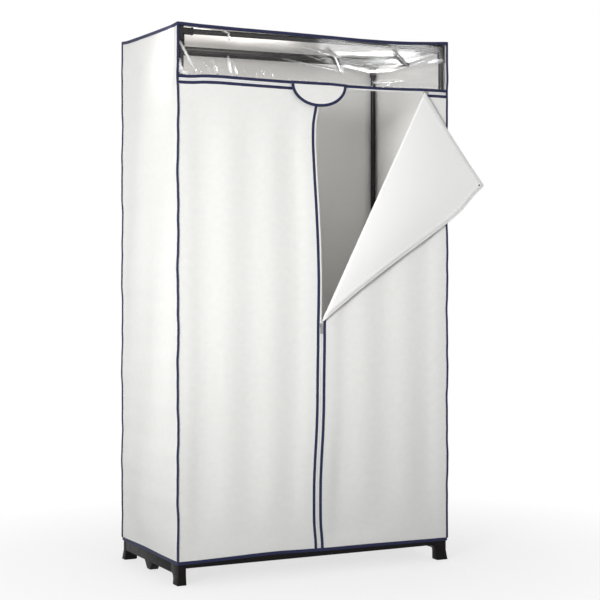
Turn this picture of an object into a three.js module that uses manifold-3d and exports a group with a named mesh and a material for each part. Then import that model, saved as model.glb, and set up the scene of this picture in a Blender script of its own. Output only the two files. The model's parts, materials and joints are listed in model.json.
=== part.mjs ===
// Portable wardrobe: a sewn cover with a zipped front over a tube frame on a moulded base.
// Millimetres, +Z up, the front faces -Y. The upper corner of the right-hand door is folded back.
// The flap is drawn in the plane of the door and turned half round about its crease.

import * as THREE from 'three';
import { mergeVertices } from 'three/addons/utils/BufferGeometryUtils.js';
import Module from 'manifold-3d';

// Cover
const coverWidth = 888;
const coverDepth = 488;
const coverHeight = 1600;
const fabricThickness = 1.2;
const filmThickness = 0.6;
const seamGap = 0.3;
const pipingSize = 8;
const pipingBevel = 2;
const bindingWidth = 7.5;
const bindingThickness = 2.8;
const hemHeight = 58;
const hemBandHeight = 8;
const windowHeight = 150;

// Zips
const frontZipX = 9;
const frontZipWidth = 12.5;
const topZipWidth = 8.5;
const chainGap = 1.2;
const chainWidth = 1.6;
const chainThickness = 2.4;
const tapeThickness = 0.8;

// Zip sliders and pulls
const sliderWidth = 8;
const sliderLength = 16;
const sliderPlate = 1.2;
const sliderClearance = 0.4;
const sliderWebThickness = 0.6;
const sliderLipWidth = 0.8;
const studRadius = 0.9;
const studHeadRadius = 1.9;
const studHeadThickness = 0.7;
const pullLength = 24;
const pullWidth = 6.4;
const pullThickness = 1;
const pullClearance = 0.3;
const pullReachGap = 4;

// Folded corner of the right-hand door
const creaseFootHeight = 737;
const creaseHeadInset = 86;
const foldRadius = 4;
const flapFootInset = 0.4;
const creaseClearance = 0.3;

// Storm flap over the meeting point of the zips
const stormWidth = 180;
const stormDrop = 65;
const stormLift = 7.6;

// Folds of the hanging doors, set back from the front face
const foldDepth = 3.5;
const foldSpacing = 140;
const foldFadeShare = 0.16;
const foldColumns = 24;
const foldRows = 9;

// Tube frame
const tubeRadius = 8;
const tubeWall = 0.7;
const tubeFit = 0.3;
const tubeSides = 16;
const tubeRoofGap = 9.9;
const railTubeGap = 4;

// Plastic fittings
const socketWall = 2.2;
const socketClearance = 1;
const socketArm = 36;
const socketLeg = 41.5;
const socketFloor = 12;
const bracketWidth = 22;
const bracketSocketLength = 26;
const bracketFloor = 4;

// Moulded base
const frontRailDepth = 19;
const sideRailDepth = 37;
const railWidth = 18;
const railWall = 2.5;
const footLength = 36;
const footArm = 62;
const footFlare = 4;
const toeRadius = 5;
const shinHeight = 3;
const postBoreFloor = 26;
const tongueLength = 20;
const stayUnderside = 6;
const stayWidth = 26;
const stayTopLength = 68;
const stayFootLength = 26;
const stayOffset = 12;

// Shared places worked out from the sizes
const halfWidth = coverWidth / 2;
const halfDepth = coverDepth / 2;
const halfPiping = pipingSize / 2;
const panelX = halfWidth - halfPiping;
const panelY = halfDepth - halfPiping;
const frontY = -panelY;
const panelReachX = halfWidth - pipingSize - seamGap;
const panelReachY = halfDepth - pipingSize - seamGap;
const railTop = hemHeight + hemBandHeight;
const frontRailUnderside = railTop - frontRailDepth;
const sideRailUnderside = railTop - sideRailDepth;
const gussetRadius = sideRailUnderside - toeRadius - shinHeight;
const panelFoot = railTop + seamGap;
const panelHead = coverHeight - pipingSize - seamGap;
const sillHeight = coverHeight - windowHeight;
const baseX = panelX - bindingThickness / 2 - seamGap;
const baseY = panelY - bindingThickness / 2 - seamGap;
const sillUnderside = sillHeight - bindingWidth;
const doorHead = sillUnderside - topZipWidth;
const topZipZ = (sillUnderside + doorHead) / 2;
const halfFrontZip = frontZipWidth / 2;
const clothHead = doorHead - bindingWidth - seamGap;
const leftClothEdge = frontZipX - halfFrontZip - bindingWidth - seamGap;
const rightClothEdge = frontZipX + halfFrontZip + bindingWidth + seamGap;
const creaseHeadX = halfWidth - creaseHeadInset;
const boreRadius = tubeRadius + tubeFit;
const socketRadius = boreRadius + socketWall;
const tubeInset = socketRadius + socketClearance;
const footWidth = 2 * tubeInset;
const capRadius = halfWidth - baseX + tubeInset - pipingSize - seamGap;
const roofUnderside = coverHeight - halfPiping - fabricThickness / 2;
const topTubeHeight = roofUnderside - tubeRoofGap - tubeRadius;
const railDrop = 2 * tubeRadius + railTubeGap;
const railHeight = topTubeHeight - railDrop;

// Materials
function material(colour, roughness, metalness = 0) {
  return new THREE.MeshStandardMaterial({ color: colour, roughness, metalness });
}
const cloth = material(0xefefec, 0.9);
const navyTape = material(0x2a2e52, 0.8);
const zipTape = material(0xf4f4f1, 0.85);
const blackPlastic = material(0x211e1e, 0.45);
const darkTube = material(0x2c2b2d, 0.4, 0.6);
const zipMetal = material(0xb9bbbd, 0.3, 1);
const clearFilm = material(0xe8ecef, 0.15);
clearFilm.transparent = true;
clearFilm.opacity = 0.25;

const wardrobe = new THREE.Group();

function addPiece(name, geometry, look, parent = wardrobe) {
  const piece = new THREE.Mesh(geometry, look.clone());
  piece.name = name;
  parent.add(piece);
  return piece;
}

// Solid modelling helpers
const wasm = await Module();
wasm.setup();

function toSolid(geometry) {
  const bare = geometry.clone();
  bare.deleteAttribute('normal');
  bare.deleteAttribute('uv');
  const merged = mergeVertices(bare);
  return new wasm.Manifold(new wasm.Mesh({
    numProp: 3,
    vertProperties: Float32Array.from(merged.attributes.position.array),
    triVerts: Uint32Array.from(merged.index.array),
  }));
}

function toGeometry(solid) {
  const mesh = solid.getMesh();
  const geometry = new THREE.BufferGeometry();
  geometry.setAttribute('position', new THREE.BufferAttribute(Float32Array.from(mesh.vertProperties), 3));
  geometry.setIndex(new THREE.BufferAttribute(Uint32Array.from(mesh.triVerts), 1));
  geometry.computeVertexNormals();
  return geometry;
}

function join(...geometries) {
  return geometries.map(toSolid).reduce((sum, next) => sum.add(next));
}

function boxBetween(low, high) {
  const size = high.map((value, i) => value - low[i]);
  const geometry = new THREE.BoxGeometry(...size);
  return geometry.translate(...low.map((value, i) => value + size[i] / 2));
}

// A rod of the tubes' facets from the origin along +Z, X or Y
function rod(radius, length, along = 'z') {
  const geometry = new THREE.CylinderGeometry(radius, radius, length, tubeSides);
  geometry.rotateX(Math.PI / 2);
  geometry.translate(0, 0, length / 2);
  if (along === 'x') geometry.rotateY(Math.PI / 2);
  if (along === 'y') geometry.rotateX(-Math.PI / 2);
  return geometry;
}

function polygon(points) {
  return new THREE.Shape(points.map(([x, y]) => new THREE.Vector2(x, y)));
}

function rectangle(halfX, halfY) {
  return [[-halfX, -halfY], [halfX, -halfY], [halfX, halfY], [-halfX, halfY]];
}

// An outline in X and Z as a plate centred on Y = 0
function uprightPlate(shape, thickness, curveSegments = 24) {
  const geometry = new THREE.ExtrudeGeometry(shape, { depth: thickness, bevelEnabled: false, curveSegments });
  geometry.rotateX(Math.PI / 2);
  return geometry.translate(0, thickness / 2, 0);
}

// An outline in Y and Z pushed out along +X from X = 0
function profileAlongX(shape, length) {
  const geometry = new THREE.ExtrudeGeometry(shape, { depth: length, bevelEnabled: false, curveSegments: 6 });
  const turn = new THREE.Matrix4().makeBasis(
    new THREE.Vector3(0, 1, 0),
    new THREE.Vector3(0, 0, 1),
    new THREE.Vector3(1, 0, 0),
  );
  return geometry.applyMatrix4(turn);
}

// A tube along +Z from the origin
function tube(length) {
  const section = new THREE.Shape().absarc(0, 0, tubeRadius, 0, 2 * Math.PI);
  section.holes.push(new THREE.Path().absarc(0, 0, tubeRadius - tubeWall, 0, 2 * Math.PI));
  const curveSegments = tubeSides / 2;
  return new THREE.ExtrudeGeometry(section, { depth: length, bevelEnabled: false, curveSegments });
}

// Base and frame, corner by corner

// The foot stands in the corner of its own axes. Its gusset runs along Y and its plain side along X.
// Below the side rails its two outer faces flare towards the floor.
function footGeometry(plainUnderside, gussetUnderside) {
  const side = new THREE.Shape();
  side.moveTo(0, 0);
  side.lineTo(footLength - toeRadius, 0);
  side.absarc(footLength - toeRadius, toeRadius, toeRadius, -Math.PI / 2, 0, false);
  const gussetZ = gussetUnderside - gussetRadius;
  side.lineTo(footLength, gussetZ);
  side.absarc(footLength + gussetRadius, gussetZ, gussetRadius, Math.PI, Math.PI / 2, true);
  side.lineTo(footArm, gussetUnderside);
  side.lineTo(footArm, railTop);
  side.lineTo(0, railTop);
  const near = railWall + seamGap;
  const far = railWidth - railWall - seamGap;
  const head = railTop - railWall - seamGap;
  const body = toSolid(profileAlongX(side, footWidth));
  const flared = body.trimByPlane([0, 0, -1], -sideRailUnderside).warp((point) => {
    const flare = footFlare * (1 - point[2] / sideRailUnderside);
    if (point[0] < seamGap) point[0] -= flare;
    if (point[1] < seamGap) point[1] -= flare;
  });
  const upright = body.trimByPlane([0, 0, 1], sideRailUnderside);
  const tongues = join(
    boxBetween([0, near, plainUnderside], [footWidth + tongueLength, far, head]),
    boxBetween([near, 0, gussetUnderside], [far, footArm + tongueLength, head]),
  );
  const bore = rod(boreRadius, railTop).translate(tubeInset, tubeInset, postBoreFloor);
  return toGeometry(flared.add(upright).add(tongues).subtract(toSolid(bore)));
}

// An open-bottomed channel along +X with its outer wall at Y = 0
function railGeometry(length, underside) {
  const section = polygon([
    [0, underside],
    [railWall, underside],
    [railWall, railTop - railWall],
    [railWidth - railWall, railTop - railWall],
    [railWidth - railWall, underside],
    [railWidth, underside],
    [railWidth, railTop],
    [0, railTop],
  ]);
  return profileAlongX(section, length);
}

// Sockets along +X, +Y and down, round the point where the tubes' axes meet. The cap under the roof
// passes inside the top piping.
function connectorGeometry(capTop) {
  const body = join(
    rod(socketRadius, socketArm, 'x'),
    rod(socketRadius, socketArm, 'y'),
    rod(socketRadius, socketLeg + socketRadius).translate(0, 0, -socketLeg),
    rod(capRadius, capTop),
  );
  const bores = join(
    rod(boreRadius, socketArm, 'x').translate(socketFloor, 0, 0),
    rod(boreRadius, socketArm, 'y').translate(0, socketFloor, 0),
    rod(boreRadius, socketLeg).translate(0, 0, -socketLeg - socketFloor),
  );
  return toGeometry(body.subtract(bores));
}

const longSide = { run: 2 * baseX, underside: frontRailUnderside, besideUnderside: sideRailUnderside };
const shortSide = { run: 2 * baseY, underside: sideRailUnderside, besideUnderside: frontRailUnderside };
const corners = [
  { corner: 'front_left', side: 'front', x: -baseX, y: -baseY, turns: 0, ...longSide },
  { corner: 'front_right', side: 'right', x: baseX, y: -baseY, turns: 1, ...shortSide },
  { corner: 'back_right', side: 'back', x: baseX, y: baseY, turns: 2, ...longSide },
  { corner: 'back_left', side: 'left', x: -baseX, y: baseY, turns: 3, ...shortSide },
];
for (const { corner, side, x, y, turns, run, underside, besideUnderside } of corners) {
  const frameCorner = new THREE.Group();
  frameCorner.position.set(x, y, 0);
  frameCorner.rotation.z = turns * Math.PI / 2;
  wardrobe.add(frameCorner);

  addPiece(`foot_${corner}`, footGeometry(underside, besideUnderside), blackPlastic, frameCorner);
  const rail = railGeometry(run - footWidth - footArm, underside).translate(footWidth, 0, 0);
  addPiece(`base_rail_${side}`, rail, blackPlastic, frameCorner);

  const postLength = topTubeHeight - socketFloor - postBoreFloor;
  const post = tube(postLength).translate(tubeInset, tubeInset, postBoreFloor);
  addPiece(`post_${corner}`, post, darkTube, frameCorner);

  const connector = connectorGeometry(roofUnderside - seamGap - topTubeHeight);
  connector.translate(tubeInset, tubeInset, topTubeHeight);
  addPiece(`corner_connector_${corner}`, connector, blackPlastic, frameCorner);

  const topTube = tube(run - 2 * (tubeInset + socketFloor)).rotateY(Math.PI / 2);
  topTube.translate(tubeInset + socketFloor, tubeInset, topTubeHeight);
  addPiece(`top_tube_${side}`, topTube, darkTube, frameCorner);
}

// Stays under the middle of the side rails
const staySide = polygon([
  [stayOffset - stayFootLength / 2, stayUnderside],
  [stayOffset + stayFootLength / 2, stayUnderside],
  [stayOffset + stayTopLength / 2, sideRailUnderside],
  [stayOffset - stayTopLength / 2, sideRailUnderside],
]);
addPiece('rail_stay_left', profileAlongX(staySide, stayWidth).translate(-baseX, 0, 0), blackPlastic);
addPiece('rail_stay_right', profileAlongX(staySide, stayWidth).translate(baseX - stayWidth, 0, 0), blackPlastic);

// Hanging rail and its brackets. Each bracket rings a side tube and holds one end of the rail below it.
const sideTubeX = baseX - tubeInset;
const bracketOuter = socketRadius - seamGap;

function bracketGeometry() {
  const ring = rod(bracketOuter, bracketWidth, 'y').translate(0, -bracketWidth / 2, 0);
  const socket = rod(bracketOuter, bracketOuter + bracketSocketLength, 'x');
  socket.translate(-bracketOuter, 0, -railDrop);
  const web = boxBetween(
    [-bracketOuter, -bracketOuter / 2, -railDrop],
    [bracketOuter, bracketOuter / 2, 0],
  );
  const tubeBore = rod(boreRadius, 2 * bracketWidth, 'y').translate(0, -bracketWidth, 0);
  const railBore = rod(boreRadius, bracketSocketLength + bracketOuter, 'x');
  railBore.translate(bracketFloor - bracketOuter, 0, -railDrop);
  return toGeometry(join(ring, socket, web).subtract(toSolid(tubeBore)).subtract(toSolid(railBore)));
}

const railReach = sideTubeX + bracketOuter - bracketFloor;
addPiece('hanging_rail', tube(2 * railReach).rotateY(Math.PI / 2).translate(-railReach, 0, railHeight), darkTube);
for (const [side, sign] of [['left', -1], ['right', 1]]) {
  const bracket = addPiece(`rail_bracket_${side}`, bracketGeometry(), blackPlastic);
  bracket.position.set(sign * sideTubeX, 0, topTubeHeight);
  bracket.rotation.z = sign > 0 ? Math.PI : 0;
}

// Cover panels
const panelHeight = panelHead - panelFoot;
for (const [side, sign] of [['left', -1], ['right', 1]]) {
  const panel = new THREE.BoxGeometry(fabricThickness, 2 * panelReachY, panelHeight);
  panel.translate(sign * panelX, 0, panelFoot + panelHeight / 2);
  addPiece(`cover_side_${side}`, panel, cloth);
}
const backPanel = new THREE.BoxGeometry(2 * panelReachX, fabricThickness, panelHeight);
addPiece('cover_back', backPanel.translate(0, panelY, panelFoot + panelHeight / 2), cloth);
const roof = new THREE.BoxGeometry(2 * panelReachX, 2 * panelReachY, fabricThickness);
addPiece('cover_roof', roof.translate(0, 0, coverHeight - halfPiping), cloth);

// Piping round the box's edges
const topRing = polygon(rectangle(halfWidth - pipingBevel, halfDepth - pipingBevel));
topRing.holes.push(polygon(rectangle(
  halfWidth - pipingSize + pipingBevel,
  halfDepth - pipingSize + pipingBevel,
)));
const topPiping = new THREE.ExtrudeGeometry(topRing, {
  depth: pipingSize - 2 * pipingBevel,
  bevelThickness: pipingBevel,
  bevelSize: pipingBevel,
  bevelSegments: 2,
});
addPiece('top_piping', topPiping.translate(0, 0, coverHeight - pipingSize + pipingBevel), navyTape);

const cornerSection = polygon(rectangle(halfPiping - pipingBevel, halfPiping - pipingBevel));
for (const { corner, x, y } of corners) {
  const piping = new THREE.ExtrudeGeometry(cornerSection, {
    depth: panelHeight - 2 * pipingBevel,
    bevelThickness: pipingBevel,
    bevelSize: pipingBevel,
    bevelSegments: 2,
  });
  piping.translate(Math.sign(x) * panelX, Math.sign(y) * panelY, panelFoot + pipingBevel);
  addPiece(`corner_piping_${corner}`, piping, navyTape);
}

const halfBinding = bindingThickness / 2;
const hemRing = polygon(rectangle(panelX + halfBinding, panelY + halfBinding));
hemRing.holes.push(polygon(rectangle(panelX - halfBinding, panelY - halfBinding)));
const hemBand = new THREE.ExtrudeGeometry(hemRing, { depth: hemBandHeight, bevelEnabled: false });
addPiece('hem_band', hemBand.translate(0, 0, hemHeight), navyTape);

// Front window, its sill and the seam that carries the storm flap
const filmHeight = panelHead - sillHeight - seamGap;
const film = new THREE.BoxGeometry(2 * panelReachX, filmThickness, filmHeight);
addPiece('window_film', film.translate(0, frontY, panelHead - filmHeight / 2), clearFilm);

const stormFront = frontY - stormLift - halfBinding;
const sill = join(
  boxBetween(
    [-panelReachX, frontY - halfBinding, sillUnderside],
    [panelReachX, frontY + halfBinding, sillHeight],
  ),
  boxBetween(
    [-stormWidth / 2, stormFront, sillUnderside + seamGap],
    [stormWidth / 2, frontY, sillHeight],
  ),
);
addPiece('sill_binding', toGeometry(sill), navyTape);

// Crease of the right-hand door, as a line in the door's plane
const creaseHead = new THREE.Vector2(creaseHeadX, doorHead);
const creaseFoot = new THREE.Vector2(frontZipX, creaseFootHeight);
const creaseSlope = (creaseHead.x - creaseFoot.x) / (creaseHead.y - creaseFoot.y);
const creaseStep = creaseClearance * Math.hypot(1, creaseSlope) / 2;

function creaseX(z) {
  return creaseFoot.x + (z - creaseFoot.y) * creaseSlope;
}

function creaseZ(x) {
  return creaseFoot.y + (x - creaseFoot.x) / creaseSlope;
}

// The flap's foot, where it is nearly as wide as its binding
const flapFoot = creaseZ(rightClothEdge - seamGap - flapFootInset + creaseStep);

// Hanging cloth: a sheet between a left and a right edge, with upright folds that die out at its seams
function hangingCloth(levels, leftEdge, rightEdge) {
  const foot = levels[0];
  const head = levels[levels.length - 1];
  const fade = (share) => THREE.MathUtils.smoothstep(Math.min(share, 1 - share), 0, foldFadeShare);
  const positions = [];
  for (const back of [0, fabricThickness]) {
    for (const z of levels) {
      const left = leftEdge(z);
      const width = rightEdge - left;
      for (let column = 0; column <= foldColumns; column += 1) {
        const share = column / foldColumns;
        const x = left + width * share;
        const wave = (1 - Math.cos(2 * Math.PI * (rightEdge - x) / foldSpacing)) / 2;
        const setBack = foldDepth * wave * fade(share) * fade((z - foot) / (head - foot));
        positions.push(x, frontY - fabricThickness / 2 + setBack + back, z);
      }
    }
  }
  const wide = foldColumns + 1;
  const layer = wide * levels.length;
  const faces = [];
  const quad = (a, b, c, d) => faces.push(a, b, c, a, c, d);
  for (let row = 0; row < levels.length - 1; row += 1) {
    for (let column = 0; column < foldColumns; column += 1) {
      const at = row * wide + column;
      quad(at, at + 1, at + wide + 1, at + wide);
      quad(layer + at, layer + at + wide, layer + at + wide + 1, layer + at + 1);
    }
    const left = row * wide;
    const right = left + foldColumns;
    quad(left, left + wide, layer + left + wide, layer + left);
    quad(right, layer + right, layer + right + wide, right + wide);
  }
  for (let column = 0; column < foldColumns; column += 1) {
    const top = layer - wide + column;
    quad(column, layer + column, layer + column + 1, column + 1);
    quad(top, top + 1, layer + top + 1, layer + top);
  }
  const geometry = new THREE.BufferGeometry();
  geometry.setAttribute('position', new THREE.BufferAttribute(Float32Array.from(positions), 3));
  geometry.setIndex(faces);
  geometry.computeVertexNormals();
  return geometry;
}

function levelsBetween(low, high, count) {
  return Array.from({ length: count + 1 }, (_, i) => low + (high - low) * i / count);
}

const doorReach = panelReachX;
const leftLevels = levelsBetween(panelFoot, clothHead, foldRows);
addPiece('door_left', hangingCloth(leftLevels, () => -doorReach, leftClothEdge), cloth);

const creaseStartZ = creaseZ(rightClothEdge - creaseStep);
const rightLevels = [
  ...levelsBetween(panelFoot, creaseStartZ, Math.ceil(foldRows / 2)),
  ...levelsBetween(creaseStartZ, clothHead, Math.ceil(foldRows / 2)).slice(1),
];
const rightEdgeOfOpening = (z) => Math.max(rightClothEdge, creaseX(z) + creaseStep);
addPiece('door_right', hangingCloth(rightLevels, rightEdgeOfOpening, doorReach), cloth);

// Door bindings, flat tape folded over the edges that meet the zips
const inFront = (geometry) => geometry.translate(0, frontY, 0);
const leftBinding = polygon([
  [leftClothEdge + seamGap, panelFoot],
  [frontZipX - halfFrontZip, panelFoot],
  [frontZipX - halfFrontZip, doorHead],
  [-doorReach, doorHead],
  [-doorReach, doorHead - bindingWidth],
  [leftClothEdge + seamGap, doorHead - bindingWidth],
]);
addPiece('door_binding_left', inFront(uprightPlate(leftBinding, bindingThickness)), navyTape);

const rightSideBinding = polygon([
  [frontZipX + halfFrontZip, panelFoot],
  [rightClothEdge - seamGap, panelFoot],
  [rightClothEdge - seamGap, flapFoot - seamGap],
  [frontZipX + halfFrontZip, flapFoot - seamGap],
]);
addPiece('door_binding_right_side', inFront(uprightPlate(rightSideBinding, bindingThickness)), navyTape);

const rightTopBinding = polygon([
  [creaseX(doorHead - bindingWidth) + creaseStep, doorHead - bindingWidth],
  [doorReach, doorHead - bindingWidth],
  [doorReach, doorHead],
  [creaseX(doorHead) + creaseStep, doorHead],
]);
addPiece('door_binding_right_top', inFront(uprightPlate(rightTopBinding, bindingThickness)), navyTape);

// Half zips: a strip of tape with a bead of teeth along its inner edge
function halfZip(low, high, beadLow, beadHigh) {
  const strip = (from, to, thickness) => boxBetween(
    [from[0], frontY - thickness / 2, from[1]],
    [to[0], frontY + thickness / 2, to[1]],
  );
  return join(strip(low, high, tapeThickness), strip(beadLow, beadHigh, chainThickness));
}

const chainReach = chainGap / 2 + chainWidth;
function uprightHalfZip(sign, foot, head) {
  const outer = frontZipX + sign * (halfFrontZip - seamGap);
  const inner = frontZipX + sign * chainGap / 2;
  const beadEdge = frontZipX + sign * chainReach;
  const span = (a, b) => [Math.min(a, b), Math.max(a, b)];
  const [tapeLow, tapeHigh] = span(outer, inner);
  const [beadLow, beadHigh] = span(beadEdge, inner);
  return halfZip([tapeLow, foot], [tapeHigh, head], [beadLow, foot], [beadHigh, head]);
}

function levelHalfZip(sign, left, right) {
  const outer = sign > 0 ? sillUnderside - seamGap : doorHead + seamGap;
  const inner = topZipZ + sign * chainGap / 2;
  const beadEdge = topZipZ + sign * chainReach;
  const span = (a, b) => [Math.min(a, b), Math.max(a, b)];
  const [tapeLow, tapeHigh] = span(outer, inner);
  const [beadLow, beadHigh] = span(beadEdge, inner);
  return halfZip([left, tapeLow], [right, tapeHigh], [left, beadLow], [right, beadHigh]);
}

const zipHead = topZipZ - chainGap / 2;
addPiece('zip_tape_left_side', toGeometry(uprightHalfZip(-1, panelFoot, zipHead)), zipTape);
addPiece('zip_tape_right_side', toGeometry(uprightHalfZip(1, panelFoot, flapFoot - seamGap)), zipTape);
addPiece('zip_tape_sill', toGeometry(levelHalfZip(1, -doorReach, doorReach)), zipTape);
const leftZipEnd = frontZipX - halfFrontZip;
addPiece('zip_tape_top_left', toGeometry(levelHalfZip(-1, -doorReach, leftZipEnd)), zipTape);
const rightZipStart = creaseX(sillUnderside) + creaseStep;
addPiece('zip_tape_top_right', toGeometry(levelHalfZip(-1, rightZipStart, doorReach)), zipTape);

// Folded corner, drawn closed and turned half round about an axis just in front of the cloth
const creaseAxis = new THREE.Vector3(creaseHead.x - creaseFoot.x, 0, creaseHead.y - creaseFoot.y).normalize();
const creaseOrigin = new THREE.Vector3(creaseFoot.x, frontY - foldRadius, creaseFoot.y);
const foldedCorner = new THREE.Group();
foldedCorner.position.copy(creaseOrigin);
foldedCorner.quaternion.setFromAxisAngle(creaseAxis, Math.PI);
wardrobe.add(foldedCorner);
const fromCrease = (geometry) => geometry.translate(-creaseOrigin.x, -creaseOrigin.y, -creaseOrigin.z);

const flapCloth = polygon([
  [rightClothEdge, creaseZ(rightClothEdge + creaseStep)],
  [creaseX(clothHead) - creaseStep, clothHead],
  [rightClothEdge, clothHead],
]);
addPiece('door_flap', fromCrease(inFront(uprightPlate(flapCloth, fabricThickness))), cloth, foldedCorner);

const flapBinding = polygon([
  [frontZipX + halfFrontZip, flapFoot],
  [creaseX(flapFoot) - creaseStep, flapFoot],
  [rightClothEdge - seamGap, creaseZ(rightClothEdge - seamGap + creaseStep)],
  [rightClothEdge - seamGap, doorHead - bindingWidth],
  [creaseX(doorHead - bindingWidth) - creaseStep, doorHead - bindingWidth],
  [creaseX(doorHead) - creaseStep, doorHead],
  [frontZipX + halfFrontZip, doorHead],
]);
const flapBindingPlate = uprightPlate(flapBinding, bindingThickness);
addPiece('door_flap_binding', fromCrease(inFront(flapBindingPlate)), navyTape, foldedCorner);

const flapZip = uprightHalfZip(1, flapFoot, zipHead).add(
  levelHalfZip(-1, frontZipX + chainGap / 2, creaseX(doorHead) - creaseStep),
);
addPiece('zip_tape_flap', fromCrease(toGeometry(flapZip)), zipTape, foldedCorner);

// Soft roll of cloth inside the crease, ending below the reach of the top zip's pull
const rollRadius = foldRadius - fabricThickness / 2 - seamGap;
const rollFoot = (flapFoot + foldRadius - creaseFoot.y) / creaseAxis.z;
const rollHead = (topZipZ - pullLength - foldRadius - creaseFoot.y) / creaseAxis.z;
const roll = new THREE.CylinderGeometry(rollRadius, rollRadius, rollHead - rollFoot, tubeSides);
roll.translate(0, (rollHead + rollFoot) / 2, 0);
const creaseRoll = addPiece('crease_roll', roll, cloth);
creaseRoll.position.copy(creaseOrigin);
creaseRoll.quaternion.setFromUnitVectors(new THREE.Vector3(0, 1, 0), creaseAxis);

// Storm flap, hung from the seam in front of the zips
const stormFlap = new THREE.Group();
stormFlap.position.set(0, frontY - stormLift, sillUnderside);
wardrobe.add(stormFlap);

function halfOval(width, drop, counter = false) {
  const path = counter ? new THREE.Path() : new THREE.Shape();
  path.moveTo(-width / 2, 0);
  path.absellipse(0, 0, width / 2, drop, Math.PI, 2 * Math.PI, false, 0);
  return path;
}

const stormCloth = halfOval(stormWidth - 2 * (bindingWidth + seamGap), stormDrop - bindingWidth - seamGap);
addPiece('storm_flap', uprightPlate(stormCloth, fabricThickness), cloth, stormFlap);
const stormEdge = halfOval(stormWidth, stormDrop);
const stormInner = halfOval(stormWidth - 2 * bindingWidth, stormDrop - bindingWidth);
const stormBinding = toSolid(uprightPlate(stormEdge, bindingThickness)).subtract(
  toSolid(uprightPlate(stormInner, 2 * bindingThickness)),
);
addPiece('storm_flap_binding', toGeometry(stormBinding), navyTape, stormFlap);

// Zip sliders and pulls. A slider is drawn along +Z with its stud towards -Y.
const channelHalf = chainThickness / 2 + sliderClearance;
const lipHalf = tapeThickness / 2 + sliderClearance;
const sliderFace = channelHalf + sliderPlate;

function sliderGeometry() {
  const halfWeb = sliderWebThickness / 2;
  const edge = sliderWidth / 2;
  const lip = edge - sliderLipWidth;
  const quarter = [[halfWeb, channelHalf], [lip, channelHalf], [lip, lipHalf], [edge, lipHalf], [edge, sliderFace]];
  const mirrored = (flipX, flipY) => quarter.map(([x, y]) => [flipX * x, flipY * y]);
  const section = polygon([
    ...mirrored(1, 1),
    ...mirrored(-1, 1).reverse(),
    ...mirrored(-1, -1),
    ...mirrored(1, -1).reverse(),
  ]);
  const body = new THREE.ExtrudeGeometry(section, { depth: sliderLength, bevelEnabled: false });
  body.translate(0, 0, -sliderLength / 2);
  const studLength = pullThickness + 2 * pullClearance + studHeadThickness;
  const stud = rod(studRadius, sliderFace + studLength - channelHalf, 'y');
  stud.translate(0, -sliderFace - studLength, 0);
  const head = rod(studHeadRadius, studHeadThickness, 'y').translate(0, -sliderFace - studLength, 0);
  return toGeometry(join(body, stud, head));
}

// A pull hangs from the slider's stud
function pullGeometry() {
  const outline = new THREE.Shape();
  const half = pullWidth / 2;
  outline.moveTo(half, half - pullLength);
  outline.lineTo(half, 0);
  outline.absarc(0, 0, half, 0, Math.PI, false);
  outline.lineTo(-half, half - pullLength);
  outline.absarc(0, half - pullLength, half, Math.PI, 2 * Math.PI, false);
  outline.holes.push(new THREE.Path().absarc(0, 0, studRadius + pullClearance, 0, 2 * Math.PI));
  const plate = uprightPlate(outline, pullThickness, 6);
  return plate.translate(0, -sliderFace - pullClearance - pullThickness / 2, 0);
}

const centreGap = pullLength + pullReachGap;
const sliders = [
  { zip: 'front', x: frontZipX, z: creaseFootHeight - sliderLength / 2, turn: 0 },
  { zip: 'top_right', x: creaseHeadX + sliderLength / 2, z: topZipZ, turn: Math.PI / 2 },
  { zip: 'top_left', x: frontZipX - centreGap, z: topZipZ, turn: Math.PI / 2 },
];
for (const { zip, x, z, turn } of sliders) {
  const place = new THREE.Group();
  place.position.set(x, frontY, z);
  wardrobe.add(place);
  addPiece(`zip_slider_${zip}`, sliderGeometry().rotateY(turn), zipMetal, place);
  addPiece(`zip_pull_${zip}`, pullGeometry(), zipMetal, place);
}

// The origin is the middle of the underside of the whole part's bounding box
const bounds = new THREE.Box3().setFromObject(wardrobe, true);
const middle = bounds.getCenter(new THREE.Vector3());
wardrobe.position.set(-middle.x, -middle.y, -bounds.min.z);

export default wardrobe;
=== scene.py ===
import json
import math

import bmesh
import bpy
import numpy as np
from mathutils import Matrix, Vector


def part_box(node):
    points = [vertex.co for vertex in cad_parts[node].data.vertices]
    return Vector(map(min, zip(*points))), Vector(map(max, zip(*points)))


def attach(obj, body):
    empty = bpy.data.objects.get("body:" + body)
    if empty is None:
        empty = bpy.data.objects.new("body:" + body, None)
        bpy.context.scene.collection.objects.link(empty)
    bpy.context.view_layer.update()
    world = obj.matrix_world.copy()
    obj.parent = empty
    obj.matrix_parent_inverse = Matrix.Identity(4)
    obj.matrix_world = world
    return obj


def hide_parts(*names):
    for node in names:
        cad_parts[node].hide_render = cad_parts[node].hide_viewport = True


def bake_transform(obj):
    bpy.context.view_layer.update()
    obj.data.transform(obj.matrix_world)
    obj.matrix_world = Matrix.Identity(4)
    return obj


# Portable wardrobe: the looks of its sewn cover, zips, tube frame and moulded base.
# Metres, the front faces -Y. Cloth and trims are laid flat first, then settled and folded
# by the same functions, so that every seam still meets.

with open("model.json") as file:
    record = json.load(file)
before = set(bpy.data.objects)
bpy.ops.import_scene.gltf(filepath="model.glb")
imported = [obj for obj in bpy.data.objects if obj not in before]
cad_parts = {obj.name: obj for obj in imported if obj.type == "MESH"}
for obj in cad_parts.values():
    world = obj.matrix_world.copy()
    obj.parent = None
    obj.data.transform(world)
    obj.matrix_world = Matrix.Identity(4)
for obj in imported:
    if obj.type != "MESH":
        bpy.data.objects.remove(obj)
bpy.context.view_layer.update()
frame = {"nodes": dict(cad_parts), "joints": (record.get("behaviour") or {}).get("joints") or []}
print("frame loaded")


# Places read from the frame

def boxOf(node):
    low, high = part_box(node)
    return np.array(low), np.array(high)


def middleOf(node):
    return sum(boxOf(node)) / 2


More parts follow.
